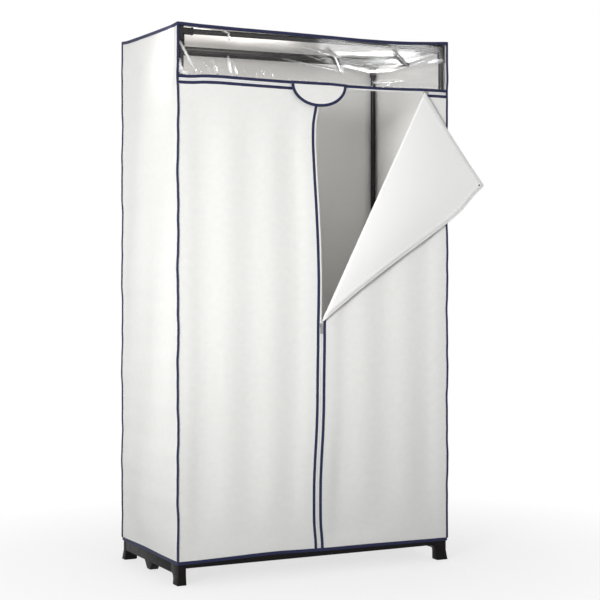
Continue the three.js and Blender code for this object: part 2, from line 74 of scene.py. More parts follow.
root = "wardrobe"
corners = ("front_left", "front_right", "back_right", "back_left")
sides = ("front", "right", "back", "left")
pipingLow, pipingHigh = boxOf("top_piping")
centreX, centreY = (pipingLow + pipingHigh)[:2] / 2
halfWidth, halfDepth = (pipingHigh - pipingLow)[:2] / 2
coverTop = pipingHigh[2]
frontY = middleOf("window_film")[1]
backY = 2 * centreY - frontY
leftX = middleOf("cover_side_left")[0]
rightX = 2 * centreX - leftX
roofZ = middleOf("cover_roof")[2]
zipX = middleOf("zip_slider_front")[0]
topZipZ = middleOf("zip_slider_top_right")[2]
filmLow, filmHigh = boxOf("window_film")
hemLow, hemHigh = boxOf("hem_band")
sillLow, sillHigh = boxOf("sill_binding")
sideLow, sideHigh = boxOf("cover_side_left")
backLow, backHigh = boxOf("cover_back")
leftDoorLow, leftDoorHigh = boxOf("door_left")
rightDoorLow, rightDoorHigh = boxOf("door_right")
leftBindingLow, leftBindingHigh = boxOf("door_binding_left")
rightBindingLow, rightBindingHigh = boxOf("door_binding_right_side")
doorHead = leftBindingHigh[2]

# The corner pipings are rolled slimmer than their solids, and the cloth reaches out to them
pipingSlimmer = 0.002
leftDoorLow[0] -= pipingSlimmer
rightDoorHigh[0] += pipingSlimmer
for low, high, axis in ((filmLow, filmHigh, 0), (sillLow, sillHigh, 0), (backLow, backHigh, 0),
                        (sideLow, sideHigh, 1)):
    low[axis] -= pipingSlimmer
    high[axis] += pipingSlimmer

foldJoint = next(j for j in frame["joints"] if j["name"] == "corner_fold")
creaseOrigin = np.array(foldJoint["pos_m"])
creaseAlong = -np.array(foldJoint["axis"])
creaseAcross = np.array([-creaseAlong[2], 0, creaseAlong[0]])
foldGap = 2 * (frontY - creaseOrigin[1])


# How the cover has settled: measured drops and shifts in millimetres, at places in metres.
# Places across are from the middle of the cover, places up are from the floor.

settling = {
    "frontSag": [(-0.444, 2.4), (-0.4, 1), (-0.33, 2.6), (-0.25, 4.4), (-0.1, 6), (0.05, 8.6), (0.14, 10.6),
                 (0.24, 10.6), (0.31, 8.8), (0.36, 5.8), (0.4, 4), (0.444, 4)],
    "frontFrom": 0.19,
    "frontBlend": 0.04,
    "sagDepth": 0.24,
    "backShare": 0.6,
    "sideSag": 0.0006,
    "roofSag": 0.009,
    "roofSpan": (0.4, 0.2),
    "sagFrom": 1.47,
    "sagMargin": 0.01,
    "cornerPeak": 0.0032,
    "peakReach": 0.035,
    "sillRise": [(-0.444, 0.3), (-0.41, 0.1), (-0.395, 0.6), (-0.36, 4), (-0.31, 4.6), (-0.25, 3), (-0.17, 1.4),
                 (-0.1, 0.2), (-0.02, -0.1), (0.04, -0.1), (0.1, -2.8), (0.2, -3.6), (0.29, -2), (0.34, -0.4),
                 (0.41, -0.1), (0.425, -0.1), (0.444, -1)],
    "sillReach": 0.11,
    "hemRise": [(-0.444, 0), (-0.38, 0.5), (-0.3, 2), (-0.2, 5), (-0.12, 6), (-0.04, 4), (0.05, 2.4),
                (0.16, 2.6), (0.3, 1.2), (0.4, 0.3), (0.444, 0)],
    "sideHemRise": 0.002,
    "sideHemPlace": (0.05, 0.17),
    "hemReach": 0.22,
    "zipBow": [(0.06, -6), (0.085, -6.5), (0.11, -9), (0.14, -12), (0.2, -12.6), (0.27, -12), (0.34, -8.4),
               (0.41, -4), (0.48, -1.4), (0.58, -0.4), (0.68, 1.2), (0.73, 1.2), (0.78, 2.8), (0.87, 3.6),
               (0.97, 1), (1.07, -4), (1.17, -10.5), (1.27, -16), (1.33, -15.5), (1.37, -7), (1.4, -2),
               (1.45, -0.5)],
    "bowReach": 0.24,
    "edgeWander": 0.0011,
    "wanderReach": 0.05,
    "wanderFoot": (0.08, 0.1),
    "wanderHead": (1.55, 0.08),
}


def smooth(values):
    values = np.clip(values, 0, 1)
    return values * values * (3 - 2 * values)


def dome(values):
    return np.clip(1 - values * values, 0, 1) ** 2


def fadeIn(values, low, high, reach):
    return smooth((values - low) / reach) * smooth((high - values) / reach)


# A soft line through measured places, from millimetres to metres
def softLine(measured, steps=301, span=15):
    places = np.linspace(measured[0][0], measured[-1][0], steps)
    values = np.interp(places, *zip(*measured))
    window = np.hanning(span) / np.hanning(span).sum()
    values = np.convolve(np.pad(values, span // 2, mode="edge"), window, "valid") / 1000
    return lambda wanted: np.interp(wanted, places, values)


frontSag, sillRise = softLine(settling["frontSag"]), softLine(settling["sillRise"])
hemRise, zipBow = softLine(settling["hemRise"]), softLine(settling["zipBow"])


def settle(points):
    moved = np.array(points, float)
    x, y, z = moved[:, 0] - centreX, moved[:, 1] - centreY, moved[:, 2]
    atFront = smooth((-y - settling["frontFrom"]) / settling["frontBlend"])
    toFront = smooth((settling["sagDepth"] - y) / (2 * settling["sagDepth"]))
    acrossRoof, alongRoof = dome(x / settling["roofSpan"][0]), dome(y / settling["roofSpan"][1])
    sag = frontSag(x) * toFront + frontSag(-x) * (1 - toFront) * settling["backShare"]
    sag = sag + (settling["sideSag"] + settling["roofSag"] * acrossRoof) * alongRoof
    toCorner = (halfWidth - abs(x)) / settling["peakReach"], (halfDepth - abs(y)) / settling["peakReach"]
    peak = np.exp(-toCorner[0] ** 2 - toCorner[1] ** 2)
    full = coverTop - settling["sagMargin"]
    lift = settling["cornerPeak"] * peak - sag
    lift = lift * smooth((z - settling["sagFrom"]) / (full - settling["sagFrom"]))
    seam = sillRise(x) * smooth(1 - abs(z - sillHigh[2]) / settling["sillReach"]) * atFront
    sideMiddle, sideSpan = settling["sideHemPlace"]
    hem = hemRise(x) * atFront + settling["sideHemRise"] * dome((y - sideMiddle) / sideSpan)
    hem = hem * smooth(1 - (z - hemLow[2]) / settling["hemReach"])
    bow = zipBow(z) * smooth(1 - abs(points[:, 0] - zipX) / settling["bowReach"]) * atFront
    (foot, footReach), (head, headReach) = settling["wanderFoot"], settling["wanderHead"]
    edges = smooth(1 - (halfWidth - abs(x)) / settling["wanderReach"])
    edges = edges * smooth((z - foot) / footReach) * smooth((head - z) / headReach)
    wander = np.sin(z * 21 + 3 * x) + 0.6 * np.sin(z * 47 + 1 + 5 * y) + 0.35 * np.sin(z * 93 + 2)
    moved[:, 0] += bow + settling["edgeWander"] * wander * edges
    moved[:, 2] += hem + seam + lift
    return moved


# The corner of the right-hand door folds over a soft edge. Points are given in the closed door.
foldEdge = {"reach": 0.003, "bulge": 0.0038, "belly": 0.0095}
creaseSlope = creaseAlong[2] / creaseAlong[0]
creaseFoot = creaseOrigin[2] + (zipX - creaseOrigin[0]) * creaseSlope
creaseHead = creaseOrigin[0] + (topZipZ - creaseOrigin[2]) / creaseSlope
cornerReach = (np.array([zipX, 0, topZipZ]) - creaseOrigin) @ creaseAcross


def foldCorner(points):
    q = points - creaseOrigin
    along, across = q @ creaseAlong, q @ creaseAcross
    behind = points[:, 1] - frontY
    reach, bulge, half = foldEdge["reach"], foldEdge["bulge"], foldGap / 2
    turn = np.clip(across / reach, -1, 1) * math.pi / 2
    normal = np.stack([np.cos(turn) / bulge, np.sin(turn) / half], 1)
    normal /= np.linalg.norm(normal, axis=1)[:, None]
    edge = bulge * np.cos(turn) - reach
    over = np.where(across < -reach, across, np.where(across > reach, -across, edge))
    front = np.where(across < -reach, 0, np.where(across > reach, foldGap, half + half * np.sin(turn)))
    # The belly is the product of a place's three distances from the corner's edges, so 27 makes its middle 1
    belly = across / cornerReach * (points[:, 0] - zipX) / (creaseHead - zipX)
    belly = 27 * np.clip(belly * (topZipZ - points[:, 2]) / (topZipZ - creaseFoot), 0, None)
    front = front + foldEdge["belly"] * belly * (across > 0) * (points[:, 0] > zipX) * (points[:, 2] < topZipZ)
    over = over + behind * normal[:, 0] * (abs(across) < reach)
    front = front + behind * np.sign(normal[:, 1]) * np.where(abs(across) < reach, abs(normal[:, 1]), 1)
    folded = creaseOrigin + along[:, None] * creaseAlong + over[:, None] * creaseAcross
    folded[:, 1] = frontY - front
    return folded


# Broad, soft waves that are the same each run
def ripple(u, v, seed, shortest, longest, count=7):
    dice = np.random.default_rng(seed)
    total = np.zeros_like(u)
    for _ in range(count):
        length = dice.uniform(shortest, longest)
        heading = dice.uniform(0, math.pi)
        wave = 2 * math.pi / length * (u * math.cos(heading) + v * math.sin(heading))
        total += np.sin(wave + dice.uniform(0, 2 * math.pi))
    return total / count ** 0.5


# Modelling helpers

def camelName(words):
    first, *others = words.split("_")
    return first + "".join(word.title() for word in others)


def alongAxis(axis, length):
    return Vector([length if i == axis else 0 for i in range(3)])


def pickOnly(obj):
    bpy.ops.object.select_all(action="DESELECT")
    obj.select_set(True)
    bpy.context.view_layer.objects.active = obj


def finishModifiers(obj):
    pickOnly(obj)
    for modifier in list(obj.modifiers):
        bpy.ops.object.modifier_apply(modifier=modifier.name)


def roundEdges(obj, width, segments=2, angle=35):
    bevel = obj.modifiers.new("edges", "BEVEL")
    bevel.width, bevel.segments = width, segments
    bevel.limit_method, bevel.angle_limit = "ANGLE", math.radians(angle)
    finishModifiers(obj)


def combine(obj, operation, others):
    for other in others:
        boolean = obj.modifiers.new("boolean", "BOOLEAN")
        boolean.operation, boolean.solver, boolean.object = operation, "EXACT", other
    finishModifiers(obj)
    for other in others:
        bpy.data.objects.remove(other)


def softShade(obj, angle=40):
    pickOnly(obj)
    bpy.ops.object.shade_smooth_by_angle(angle=math.radians(angle))


def joinUnder(name, parts):
    bpy.ops.object.select_all(action="DESELECT")
    for part in parts:
        part.select_set(True)
    bpy.context.view_layer.objects.active = parts[0]
    if len(parts) > 1:
        bpy.ops.object.join()
    parts[0].name = parts[0].data.name = name
    return parts[0]


def pointsOf(obj):
    points = np.empty(len(obj.data.vertices) * 3)
    obj.data.vertices.foreach_get("co", points)
    return points.reshape(-1, 3)


def placePoints(obj, points):
    obj.data.vertices.foreach_set("co", np.asarray(points, np.float32).ravel())
    obj.data.update()


def settlePiece(obj, folded=False):
    points = settle(pointsOf(obj))
    placePoints(obj, foldCorner(points) if folded else points)


# A strip's own map: along the strip, and across it from the edge that is sewn down
def mapAlong(obj, along, across, sewnEdge):
    layer = obj.data.uv_layers.get("UVMap") or obj.data.uv_layers.new(name="UVMap")
    points = pointsOf(obj)
    used = np.empty(len(obj.data.loops), int)
    obj.data.loops.foreach_get("vertex_index", used)
    flat = np.stack([points[used, along], abs(points[used, across] - sewnEdge)], 1)
    layer.data.foreach_set("uv", flat.astype(np.float32).ravel())


def selectParts(obj, kind, wanted):
    bpy.ops.object.mode_set(mode="EDIT")
    bpy.ops.mesh.select_mode(type=kind)
    mesh = bmesh.from_edit_mesh(obj.data)
    for part in mesh.edges if kind == "EDGE" else mesh.faces:
        part.select_set(bool(wanted(part)))
    bmesh.update_edit_mesh(obj.data)


def selectEdgesAlong(obj, axis, longerThan):
    selectParts(obj, "EDGE", lambda e: abs((e.verts[0].co - e.verts[1].co)[axis]) > longerThan)


def block(name, corner, opposite):
    low, high = np.minimum(corner, opposite), np.maximum(corner, opposite)
    bpy.ops.object.select_all(action="DESELECT")
    bpy.ops.mesh.primitive_cube_add(size=1, location=(low + high) / 2)
    obj = bpy.context.object
    obj.name = name
    obj.scale = high - low
    bpy.ops.object.transform_apply(location=True, rotation=True, scale=True)
    return obj


def roundBar(name, radius, start, end, sides=48):
    start, end = Vector(start), Vector(end)
    bpy.ops.object.select_all(action="DESELECT")
    bpy.ops.mesh.primitive_cylinder_add(
        vertices=sides, radius=radius, depth=(end - start).length, location=(start + end) / 2,
        rotation=(end - start).to_track_quat("Z", "Y").to_euler())
    obj = bpy.context.object
    obj.name = name
    bpy.ops.object.transform_apply(location=True, rotation=True, scale=True)
    return obj


# Cuts at shares of the fold's reach, in the closed door or in a sheet that still lies flat
def cutAlongCrease(obj, outermost, lyingFlat=False):
    bpy.ops.object.mode_set(mode="EDIT")
    for share in (-outermost, -2, -1, -0.75, -0.5, -0.25, 0, 0.25, 0.5, 0.75, 1, 2, outermost):
        bpy.ops.mesh.select_all(action="SELECT")
        place, normal = creaseOrigin + share * foldEdge["reach"] * creaseAcross, creaseAcross
        if lyingFlat:
            place, normal = (place[0], place[2], 0), (normal[0], normal[2], 0)
        bpy.ops.mesh.bisect(plane_co=place, plane_no=normal)
    bpy.ops.object.mode_set(mode="OBJECT")


flatSizes = {}


# A flat sheet of squares, drawn in two directions and then moved to its place
def flatSheet(name, low, high, step):
    low, high = np.array(low, float), np.array(high, float)
    flatSizes[name] = tuple(float(s) for s in high - low)
    counts = [max(2, round(s / step)) for s in flatSizes[name]]
    bpy.ops.object.select_all(action="DESELECT")
    bpy.ops.mesh.primitive_grid_add(
        x_subdivisions=counts[0], y_subdivisions=counts[1], size=1, location=(*((low + high) / 2), 0))
    obj = bpy.context.object
    obj.name = name
    obj.scale = (*(high - low), 1)
    bpy.ops.object.transform_apply(location=True, rotation=True, scale=True)
    return obj


# The sheet's inside faces are marked, because the cloth is painted paler there, a painted highlight that
# brightens the folded-over corner, which shows this face.
# Its map is measured from a line far outside it, so that it never turns back.
def hangSheet(obj, place, thickness, facesOut=True):
    flat, faces = pointsOf(obj)[:, :2], len(obj.data.polygons)
    mapAlong(obj, 0, 1, -10)
    placePoints(obj, place(flat[:, 0], flat[:, 1]))
    solid = obj.modifiers.new("thickness", "SOLIDIFY")
    solid.thickness, solid.offset = thickness, 0
    finishModifiers(obj)
    inside = np.zeros(len(obj.data.polygons), np.float32)
    if facesOut:
        inside[faces:2 * faces] = 1
    else:
        inside[:faces] = 1
    obj.data.attributes.new("inside", "FLOAT", "FACE").data.foreach_set("value", inside)
    softShade(obj, 50)


# Materials. Each look gives its colours, its lowest and highest roughness, its gloss and its sheen.

def startMaterial(name, look, coordinates="Object"):
    material = bpy.data.materials.new(name)
    material.use_nodes = True
    material.diffuse_color = (*look["colour"], 1)
    tree = material.node_tree
    shader = tree.nodes["Principled BSDF"]
    sheen, sheenSpread = look.get("sheen", (0, 0.5))
    settings = {"Base Color": (*look["colour"], 1), "Roughness": look["rough"][0],
                "Metallic": look.get("metallic", 0), "Specular IOR Level": look.get("gloss", 0.5),
                "Sheen Weight": sheen, "Sheen Roughness": sheenSpread}
    for key, value in settings.items():
        shader.inputs[key].default_value = value
    return material, tree, shader, addNode(tree, "ShaderNodeTexCoord").outputs[coordinates]


# Inputs are given by name, or as i0, i1 and so on by number
def addNode(tree, kind, settings=None, **inputs):
    node = tree.nodes.new(kind)
    for key, value in (settings or {}).items():
        setattr(node, key, value)
    for key, value in inputs.items():
        socket = node.inputs[int(key[1:])] if key[0] == "i" and key[1:].isdigit() else node.inputs[key]
        fill(tree, socket, value)
    return node


def fill(tree, socket, value):
    if isinstance(value, bpy.types.NodeSocket):
        tree.links.new(value, socket)
    else:
        socket.default_value = value


def feed(tree, shader, **values):
    for key, value in values.items():
        fill(tree, shader.inputs[{"Colour": "Base Color"}.get(key, key)], value)


def calc(tree, operation, *values):
    return addNode(tree, "ShaderNodeMath", {"operation": operation},
                   **{f"i{n}": v for n, v in enumerate(values)}).outputs[0]


def blendColours(tree, factor, first, second):
    node = addNode(tree, "ShaderNodeMix", {"data_type": "RGBA"}, i0=factor)
    for socket, value in ((node.inputs[6], first), (node.inputs[7], second)):
        fill(tree, socket, value if isinstance(value, bpy.types.NodeSocket) else (*value, 1))
    return node.outputs[2]


def ramp(tree, value, low, high, toLow=0.0, toHigh=1.0):
    return addNode(tree, "ShaderNodeMapRange", {"clamp": True}, i0=value, i1=low, i2=high, i3=toLow,
                   i4=toHigh).outputs[0]


def noise(tree, vector, scale, detail=3.0):
    return addNode(tree, "ShaderNodeTexNoise", Vector=vector, Scale=scale, Detail=detail).outputs[0]


def stretch(tree, vector, *scale):
    return addNode(tree, "ShaderNodeMapping", Vector=vector, Scale=scale).outputs[0]


def bump(tree, shader, height, distance, strength=1.0):
    feed(tree, shader, Normal=addNode(tree, "ShaderNodeBump", Height=height, Distance=distance,
                                      Strength=strength).outputs[0])


def splitMap(tree, place):
    return addNode(tree, "ShaderNodeSeparateXYZ", i0=place).outputs[:2]


def waves(tree, value, length):
    return calc(tree, "SINE", calc(tree, "MULTIPLY", value, 2 * math.pi / length))


def stitchLine(tree, u, v, place, width, pitch, dashShare=0.72):
    near = calc(tree, "LESS_THAN", calc(tree, "ABSOLUTE", calc(tree, "SUBTRACT", v, place)), width / 2)
    dash = calc(tree, "LESS_THAN", calc(tree, "FRACT", calc(tree, "DIVIDE", u, pitch)), dashShare)
    return calc(tree, "MULTIPLY", near, dash)


clothLook = {"colour": (0.863, 0.863, 0.842), "dark": (0.815, 0.812, 0.792), "inside": (0.95, 0.95, 0.935),
             "cloudShare": 0.75, "dimpleShare": 0.25, "insideHighlightShare": 0.85, "dimple": 0.0016, "clouds": 55.0,
             "fibres": 1500.0, "rough": (0.8, 0.92), "gloss": 0.3, "sheen": (0.12, 0.5)}


# Bonded cloth: pressed dimples in rows, tangled fibres and faint clouds in its thickness
def makeCloth(look):
    material, tree, shader, place = startMaterial("bondedCloth", look, "UV")
    u, v = splitMap(tree, place)
    rows = [waves(tree, calc(tree, sign, u, v), look["dimple"]) for sign in ("ADD", "SUBTRACT")]
    dimples = ramp(tree, calc(tree, "MULTIPLY", *rows), 0.25, 0.8)
    clouds = ramp(tree, noise(tree, place, look["clouds"], 5.0), 0.3, 0.75, 0.0, look["cloudShare"])
    fibres = noise(tree, place, look["fibres"], 4.0)
    inside = addNode(tree, "ShaderNodeAttribute", {"attribute_name": "inside"}).outputs["Fac"]
    colour = blendColours(tree, clouds, look["colour"], look["dark"])
    colour = blendColours(tree, calc(tree, "MULTIPLY", dimples, look["dimpleShare"]), colour, look["dark"])
    # Inside faces are painted paler: a painted highlight that brightens the folded-over corner and the walls seen
    # through the opening
    colour = blendColours(tree, calc(tree, "MULTIPLY", inside, look["insideHighlightShare"]), colour, look["inside"])
    feed(tree, shader, Colour=colour, Roughness=ramp(tree, fibres, 0.3, 0.7, *look["rough"]))
    bump(tree, shader, calc(tree, "SUBTRACT", calc(tree, "MULTIPLY", fibres, 0.5), dimples), 0.00009, 0.8)
    return material


# A stitch is given by its place from the sewn edge, its width and its pitch
bindingLook = {"colour": (0.019, 0.022, 0.066), "worn": (0.032, 0.037, 0.09), "thread": (0.026, 0.031, 0.08),
               "wornShare": 0.6, "wear": 260.0, "stitch": (0.0013, 0.0005, 0.0034), "rib": 0.0007, "slant": 0.6,
               "rough": (0.62, 0.8), "gloss": 0.25, "sheen": (0.1, 0.4)}


# Woven binding: fine slanting ribs, and a row of stitches beside the sewn edge
def makeBinding(look):
    material, tree, shader, place = startMaterial("navyBinding", look, "UV")
    u, v = splitMap(tree, place)
    ribs = waves(tree, calc(tree, "ADD", u, calc(tree, "MULTIPLY", v, look["slant"])), look["rib"])
    wear = noise(tree, place, look["wear"], 4.0)
    stitches = stitchLine(tree, u, v, *look["stitch"])
    colour = blendColours(tree, ramp(tree, wear, 0.4, 0.8, 0.0, look["wornShare"]), look["colour"], look["worn"])
    colour = blendColours(tree, stitches, colour, look["thread"])
    feed(tree, shader, Colour=colour, Roughness=ramp(tree, wear, 0.3, 0.7, *look["rough"]))
    height = calc(tree, "ADD", calc(tree, "MULTIPLY", ribs, 0.25), calc(tree, "MULTIPLY", stitches, 1.4))
    bump(tree, shader, height, 0.00015, 0.9)
    return material


zipLook = {"colour": (0.86, 0.86, 0.845), "shade": (0.7, 0.7, 0.69), "wornShare": 0.25, "stitchShadowShare": 0.8,
           "wear": 180.0, "stitch": (0.0056, 0.0007, 0.0034), "rib": 0.0009, "herringbone": 0.0018,
           "rough": (0.8, 0.8), "gloss": 0.3, "sheen": (0.1, 0.5)}


# Zip tape: a herringbone weave with the row of stitches that holds it to the cloth, the stitches painted darker
# as a painted shadow of the thread
def makeZipTape(look):
    material, tree, shader, place = startMaterial("zipTape", look, "UV")
    u, v = splitMap(tree, place)
    ribs = waves(tree, calc(tree, "ADD", u, calc(tree, "PINGPONG", v, look["herringbone"])), look["rib"])
    stitches = stitchLine(tree, u, v, *look["stitch"])
    worn = ramp(tree, noise(tree, place, look["wear"]), 0.35, 0.8, 0.0, look["wornShare"])
    colour = blendColours(tree, worn, look["colour"], look["shade"])
    # The stitches are painted darker: a painted shadow of the thread in its holes
    colour = blendColours(tree, calc(tree, "MULTIPLY", stitches, look["stitchShadowShare"]), colour, look["shade"])
    feed(tree, shader, Colour=colour)
    bump(tree, shader, calc(tree, "ADD", calc(tree, "MULTIPLY", ribs, 0.3), stitches), 0.00012, 0.8)
    return material


coilLook = {"colour": (0.76, 0.76, 0.755), "shade": (0.7, 0.7, 0.69), "shadeShare": 0.6, "drawn": 900.0,
            "rough": (0.34, 0.5)}


# Drawn nylon, a little dull, and painted greyer than its tape: partly its own tone, partly painted shade along
# the zip's line
def makeCoil(look):
    material, tree, shader, place = startMaterial("zipCoil", look)
    drawn = noise(tree, place, look["drawn"])
    shade = ramp(tree, drawn, 0.3, 0.8, 0.0, look["shadeShare"])
    feed(tree, shader, Colour=blendColours(tree, shade, look["colour"], look["shade"]),
         Roughness=ramp(tree, drawn, 0.3, 0.7, *look["rough"]))
    bump(tree, shader, drawn, 0.00004)
    return material


plasticLook = {"colour": (0.008, 0.0068, 0.0068), "scuffed": (0.015, 0.0135, 0.013), "rubbedShare": 0.7,
               "edgeShare": 0.6, "grain": 1700.0, "patches": 38.0, "rough": (0.42, 0.58), "gloss": 0.08}


# Moulded plastic: a fine sparked grain, with paler rubbed patches and edges
def makePlastic(look):
    material, tree, shader, place = startMaterial("blackPlastic", look)
    rubbed = ramp(tree, noise(tree, place, look["patches"], 6.0), 0.52, 0.8)
    edge = ramp(tree, addNode(tree, "ShaderNodeNewGeometry").outputs["Pointiness"], 0.52, 0.6)
    colour = look["colour"]
    for worn, share in ((rubbed, look["rubbedShare"]), (edge, look["edgeShare"])):
        colour = blendColours(tree, calc(tree, "MULTIPLY", worn, share), colour, look["scuffed"])
    feed(tree, shader, Colour=colour, Roughness=ramp(tree, rubbed, 0.0, 1.0, *look["rough"]))
    bump(tree, shader, noise(tree, place, look["grain"]), 0.00006, 0.6)
    return material


tubeLook = {"colour": (0.014, 0.0128, 0.0128), "pale": (0.022, 0.021, 0.021), "peel": 620.0, "patches": 24.0,
            "rough": (0.3, 0.46), "gloss": 0.3}


# Powder-coated tube: an orange-peel coat with a few paler patches
def makeTube(look):
    material, tree, shader, place = startMaterial("darkTube", look)
    patches = noise(tree, place, look["patches"], 5.0)
    feed(tree, shader, Colour=blendColours(tree, ramp(tree, patches, 0.4, 0.8), look["colour"], look["pale"]),
         Roughness=ramp(tree, patches, 0.3, 0.75, *look["rough"]))
    bump(tree, shader, noise(tree, place, look["peel"], 2.0), 0.00005, 0.7)
    return material


metalLook = {"colour": (0.36, 0.355, 0.345), "dull": (0.2, 0.197, 0.188), "scratches": 2600.0, "tarnish": 320.0,
             "rough": (0.2, 0.42), "metallic": 1.0}


# Nickel-plated zip parts, with fine scratches
def makeZipMetal(look):
    material, tree, shader, place = startMaterial("zipMetal", look)
    scratches = noise(tree, stretch(tree, place, 1.0, 1.0, 0.12), look["scratches"], 5.0)
    tarnish = ramp(tree, noise(tree, place, look["tarnish"], 4.0), 0.4, 0.8)
    feed(tree, shader, Colour=blendColours(tree, tarnish, look["colour"], look["dull"]),
         Roughness=ramp(tree, scratches, 0.3, 0.75, *look["rough"]))
    bump(tree, shader, scratches, 0.00002, 0.5)
    return material


filmLook = {"colour": (0.12, 0.12, 0.12), "crease": (0.92, 0.92, 0.92), "body": (0.024, 0.045), "haze": 14.0,
            "lines": 60.0, "rough": (0.04, 0.09), "gloss": 1.0, "bend": 2.5}


# Clear film: nearly no body of its own, a strong shine and faint rolled lines
def makeFilm(look):
    material, tree, shader, place = startMaterial("clearFilm", look, "UV")
    haze = noise(tree, place, look["haze"], 4.0)
    whiteningAndGlare = addNode(tree, "ShaderNodeAttribute", {"attribute_name": "whiteningAndGlare"}).outputs["Fac"]
    body = ramp(tree, haze, 0.3, 0.75, *look["body"])
    # Creases are painted white: mostly a painted reflection of the lamps, with some of the crumpled film's own
    # haze
    feed(tree, shader, Colour=blendColours(tree, whiteningAndGlare, look["colour"], look["crease"]), IOR=look["bend"],
         Alpha=calc(tree, "MAXIMUM", body, whiteningAndGlare), Roughness=ramp(tree, haze, 0.35, 0.75, *look["rough"]))
    bump(tree, shader, noise(tree, stretch(tree, place, 1.0, 0.2, 1.0), look["lines"]), 0.0001, 0.5)
    return material


clothFinish, bindingFinish = makeCloth(clothLook), makeBinding(bindingLook)
tapeFinish, coilFinish = makeZipTape(zipLook), makeCoil(coilLook)
plasticFinish, tubeFinish = makePlastic(plasticLook), makeTube(tubeLook)
metalFinish, filmFinish = makeZipMetal(metalLook), makeFilm(filmLook)
print("materials made")


def finishPiece(obj, material, slot, body, *nodes):
    obj.data.materials.clear()
    obj.data.materials.append(material)
    if body:
        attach(obj, body)
    if nodes:
        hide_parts(*nodes)
    return obj


def foldWithCorner(obj):
    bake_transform(obj)


# A trim is settled, and folded, like the cloth that it is sewn to
def finishTrim(obj, material, slot, *nodes, folded=False):
    settlePiece(obj, folded)
    softShade(obj)
    finishPiece(obj, material, slot, None if folded else root, *nodes)
    if folded:
        foldWithCorner(obj)
    return obj


# Frame tubes, hollow at their ends

tubeSize = {"radius": 0.008, "wall": 0.0008, "bore": 0.02}


def makeTubeAlong(node):
    low, high = boxOf(node)
    run = int(np.argmax(high - low))
    start, end = (low + high) / 2, (low + high) / 2
    start[run], end[run] = low[run], high[run]
    obj = roundBar(camelName(node) + "Tube", tubeSize["radius"], start, end)
    for sign in (-1, 1):
        selectParts(obj, "FACE", lambda f: f.normal[run] * sign > 0.9)
        bpy.ops.mesh.inset(thickness=tubeSize["wall"])
        bpy.ops.mesh.extrude_region_move(
            TRANSFORM_OT_translate={"value": tuple(alongAxis(run, -sign * tubeSize["bore"]))})
        bpy.ops.object.mode_set(mode="OBJECT")
    softShade(obj)
    finishPiece(obj, tubeFinish, "dark_tube", root, node)


for node in [f"post_{c}" for c in corners] + [f"top_tube_{s}" for s in sides] + ["hanging_rail"]:
    makeTubeAlong(node)
print("tubes made")


# Plastic sockets where the tubes meet, and the brackets of the hanging rail

socketSize = {"radius": 0.0105, "arm": 0.036, "leg": 0.0415, "collar": 0.0009, "collarLength": 0.005,
              "collarRound": 0.0006, "cap": 0.0089, "capRound": 0.0012}
bracketSize = {"radius": 0.0102, "width": 0.022, "drop": 0.02, "socket": 0.026, "round": 0.0012}


def collarAt(end, heading, radius):
    start = end - heading * socketSize["collarLength"]
    collar = roundBar("collar", radius + socketSize["collar"], start, end)
    roundEdges(collar, socketSize["collarRound"])
    return collar


for corner in corners:
    x, y, _ = middleOf(f"post_{corner}")
    centre = Vector((x, y, middleOf("top_tube_" + corner.split("_")[0])[2]))
    toMiddle, toBack = (1 if "left" in corner else -1), (1 if "front" in corner else -1)
    arms = []
    for heading, length in (((toMiddle, 0, 0), "arm"), ((0, toBack, 0), "arm"), ((0, 0, -1), "leg")):
        heading = Vector(heading)
        end = centre + heading * socketSize[length]
        arms += [roundBar("arm", socketSize["radius"], centre, end), collarAt(end, heading, socketSize["radius"])]
    capTop = boxOf(f"corner_connector_{corner}")[1][2]
    cap = roundBar("cap", socketSize["cap"], centre, (centre.x, centre.y, capTop))
    roundEdges(cap, socketSize["capRound"], 3)
    bpy.ops.object.select_all(action="DESELECT")
    bpy.ops.mesh.primitive_uv_sphere_add(segments=48, ring_count=24, radius=socketSize["radius"],
                                         location=centre)
    hub = bpy.context.object
    hub.name = camelName(f"socket_{corner}")
    bpy.ops.object.transform_apply(location=True, rotation=True, scale=True)
    combine(hub, "UNION", [cap, *arms])
    softShade(hub)
    finishPiece(hub, plasticFinish, "black_plastic", root, f"corner_connector_{corner}")

for side, inward in (("left", 1), ("right", -1)):
    x, _, z = middleOf(f"top_tube_{side}")
    radius, centre, heading = bracketSize["radius"], Vector((x, centreY, z)), Vector((inward, 0, 0))
    below = centre - Vector((0, 0, bracketSize["drop"]))
    mouth = below + heading * bracketSize["socket"]
    halfRing, halfWeb = Vector((0, bracketSize["width"] / 2, 0)), Vector((radius, radius / 2, 0))
    ring = roundBar(camelName(f"rail_bracket_{side}"), radius, centre - halfRing, centre + halfRing)
    holder = roundBar("holder", radius, below - heading * radius, mouth)
    for bar in (ring, holder):
        roundEdges(bar, bracketSize["round"], 3)
    combine(ring, "UNION", [holder, collarAt(mouth, heading, radius),
                            block("web", below - halfWeb, centre + halfWeb)])
    softShade(ring)
    finishPiece(ring, plasticFinish, "black_plastic", root, f"rail_bracket_{side}")
print("sockets made")


# Moulded base: the frame's own shapes with softened edges

edgeRound = {"foot": 0.0009, "base_rail": 0.0009, "rail_stay": 0.0012}


def softCopy(node, width):
    obj = bpy.data.objects.new(camelName(node), frame["nodes"][node].data.copy())
    bpy.context.collection.objects.link(obj)
    pickOnly(obj)
    bpy.ops.object.mode_set(mode="EDIT")
    bpy.ops.mesh.select_all(action="SELECT")
    bpy.ops.mesh.remove_doubles(threshold=0.000005)
    bpy.ops.mesh.dissolve_limited(angle_limit=math.radians(1))
    bpy.ops.object.mode_set(mode="OBJECT")
    roundEdges(obj, width, 2, 30)
    softShade(obj, 35)
    return obj


for kind, places in (("foot", corners), ("base_rail", sides), ("rail_stay", ("left", "right"))):
    for place in places:
        node = f"{kind}_{place}"
        finishPiece(softCopy(node, edgeRound[kind]), plasticFinish, "black_plastic", root, node)
print("base made")


# Cover panels. A place for each point of the flat cut, with soft waves that die out at the seams.

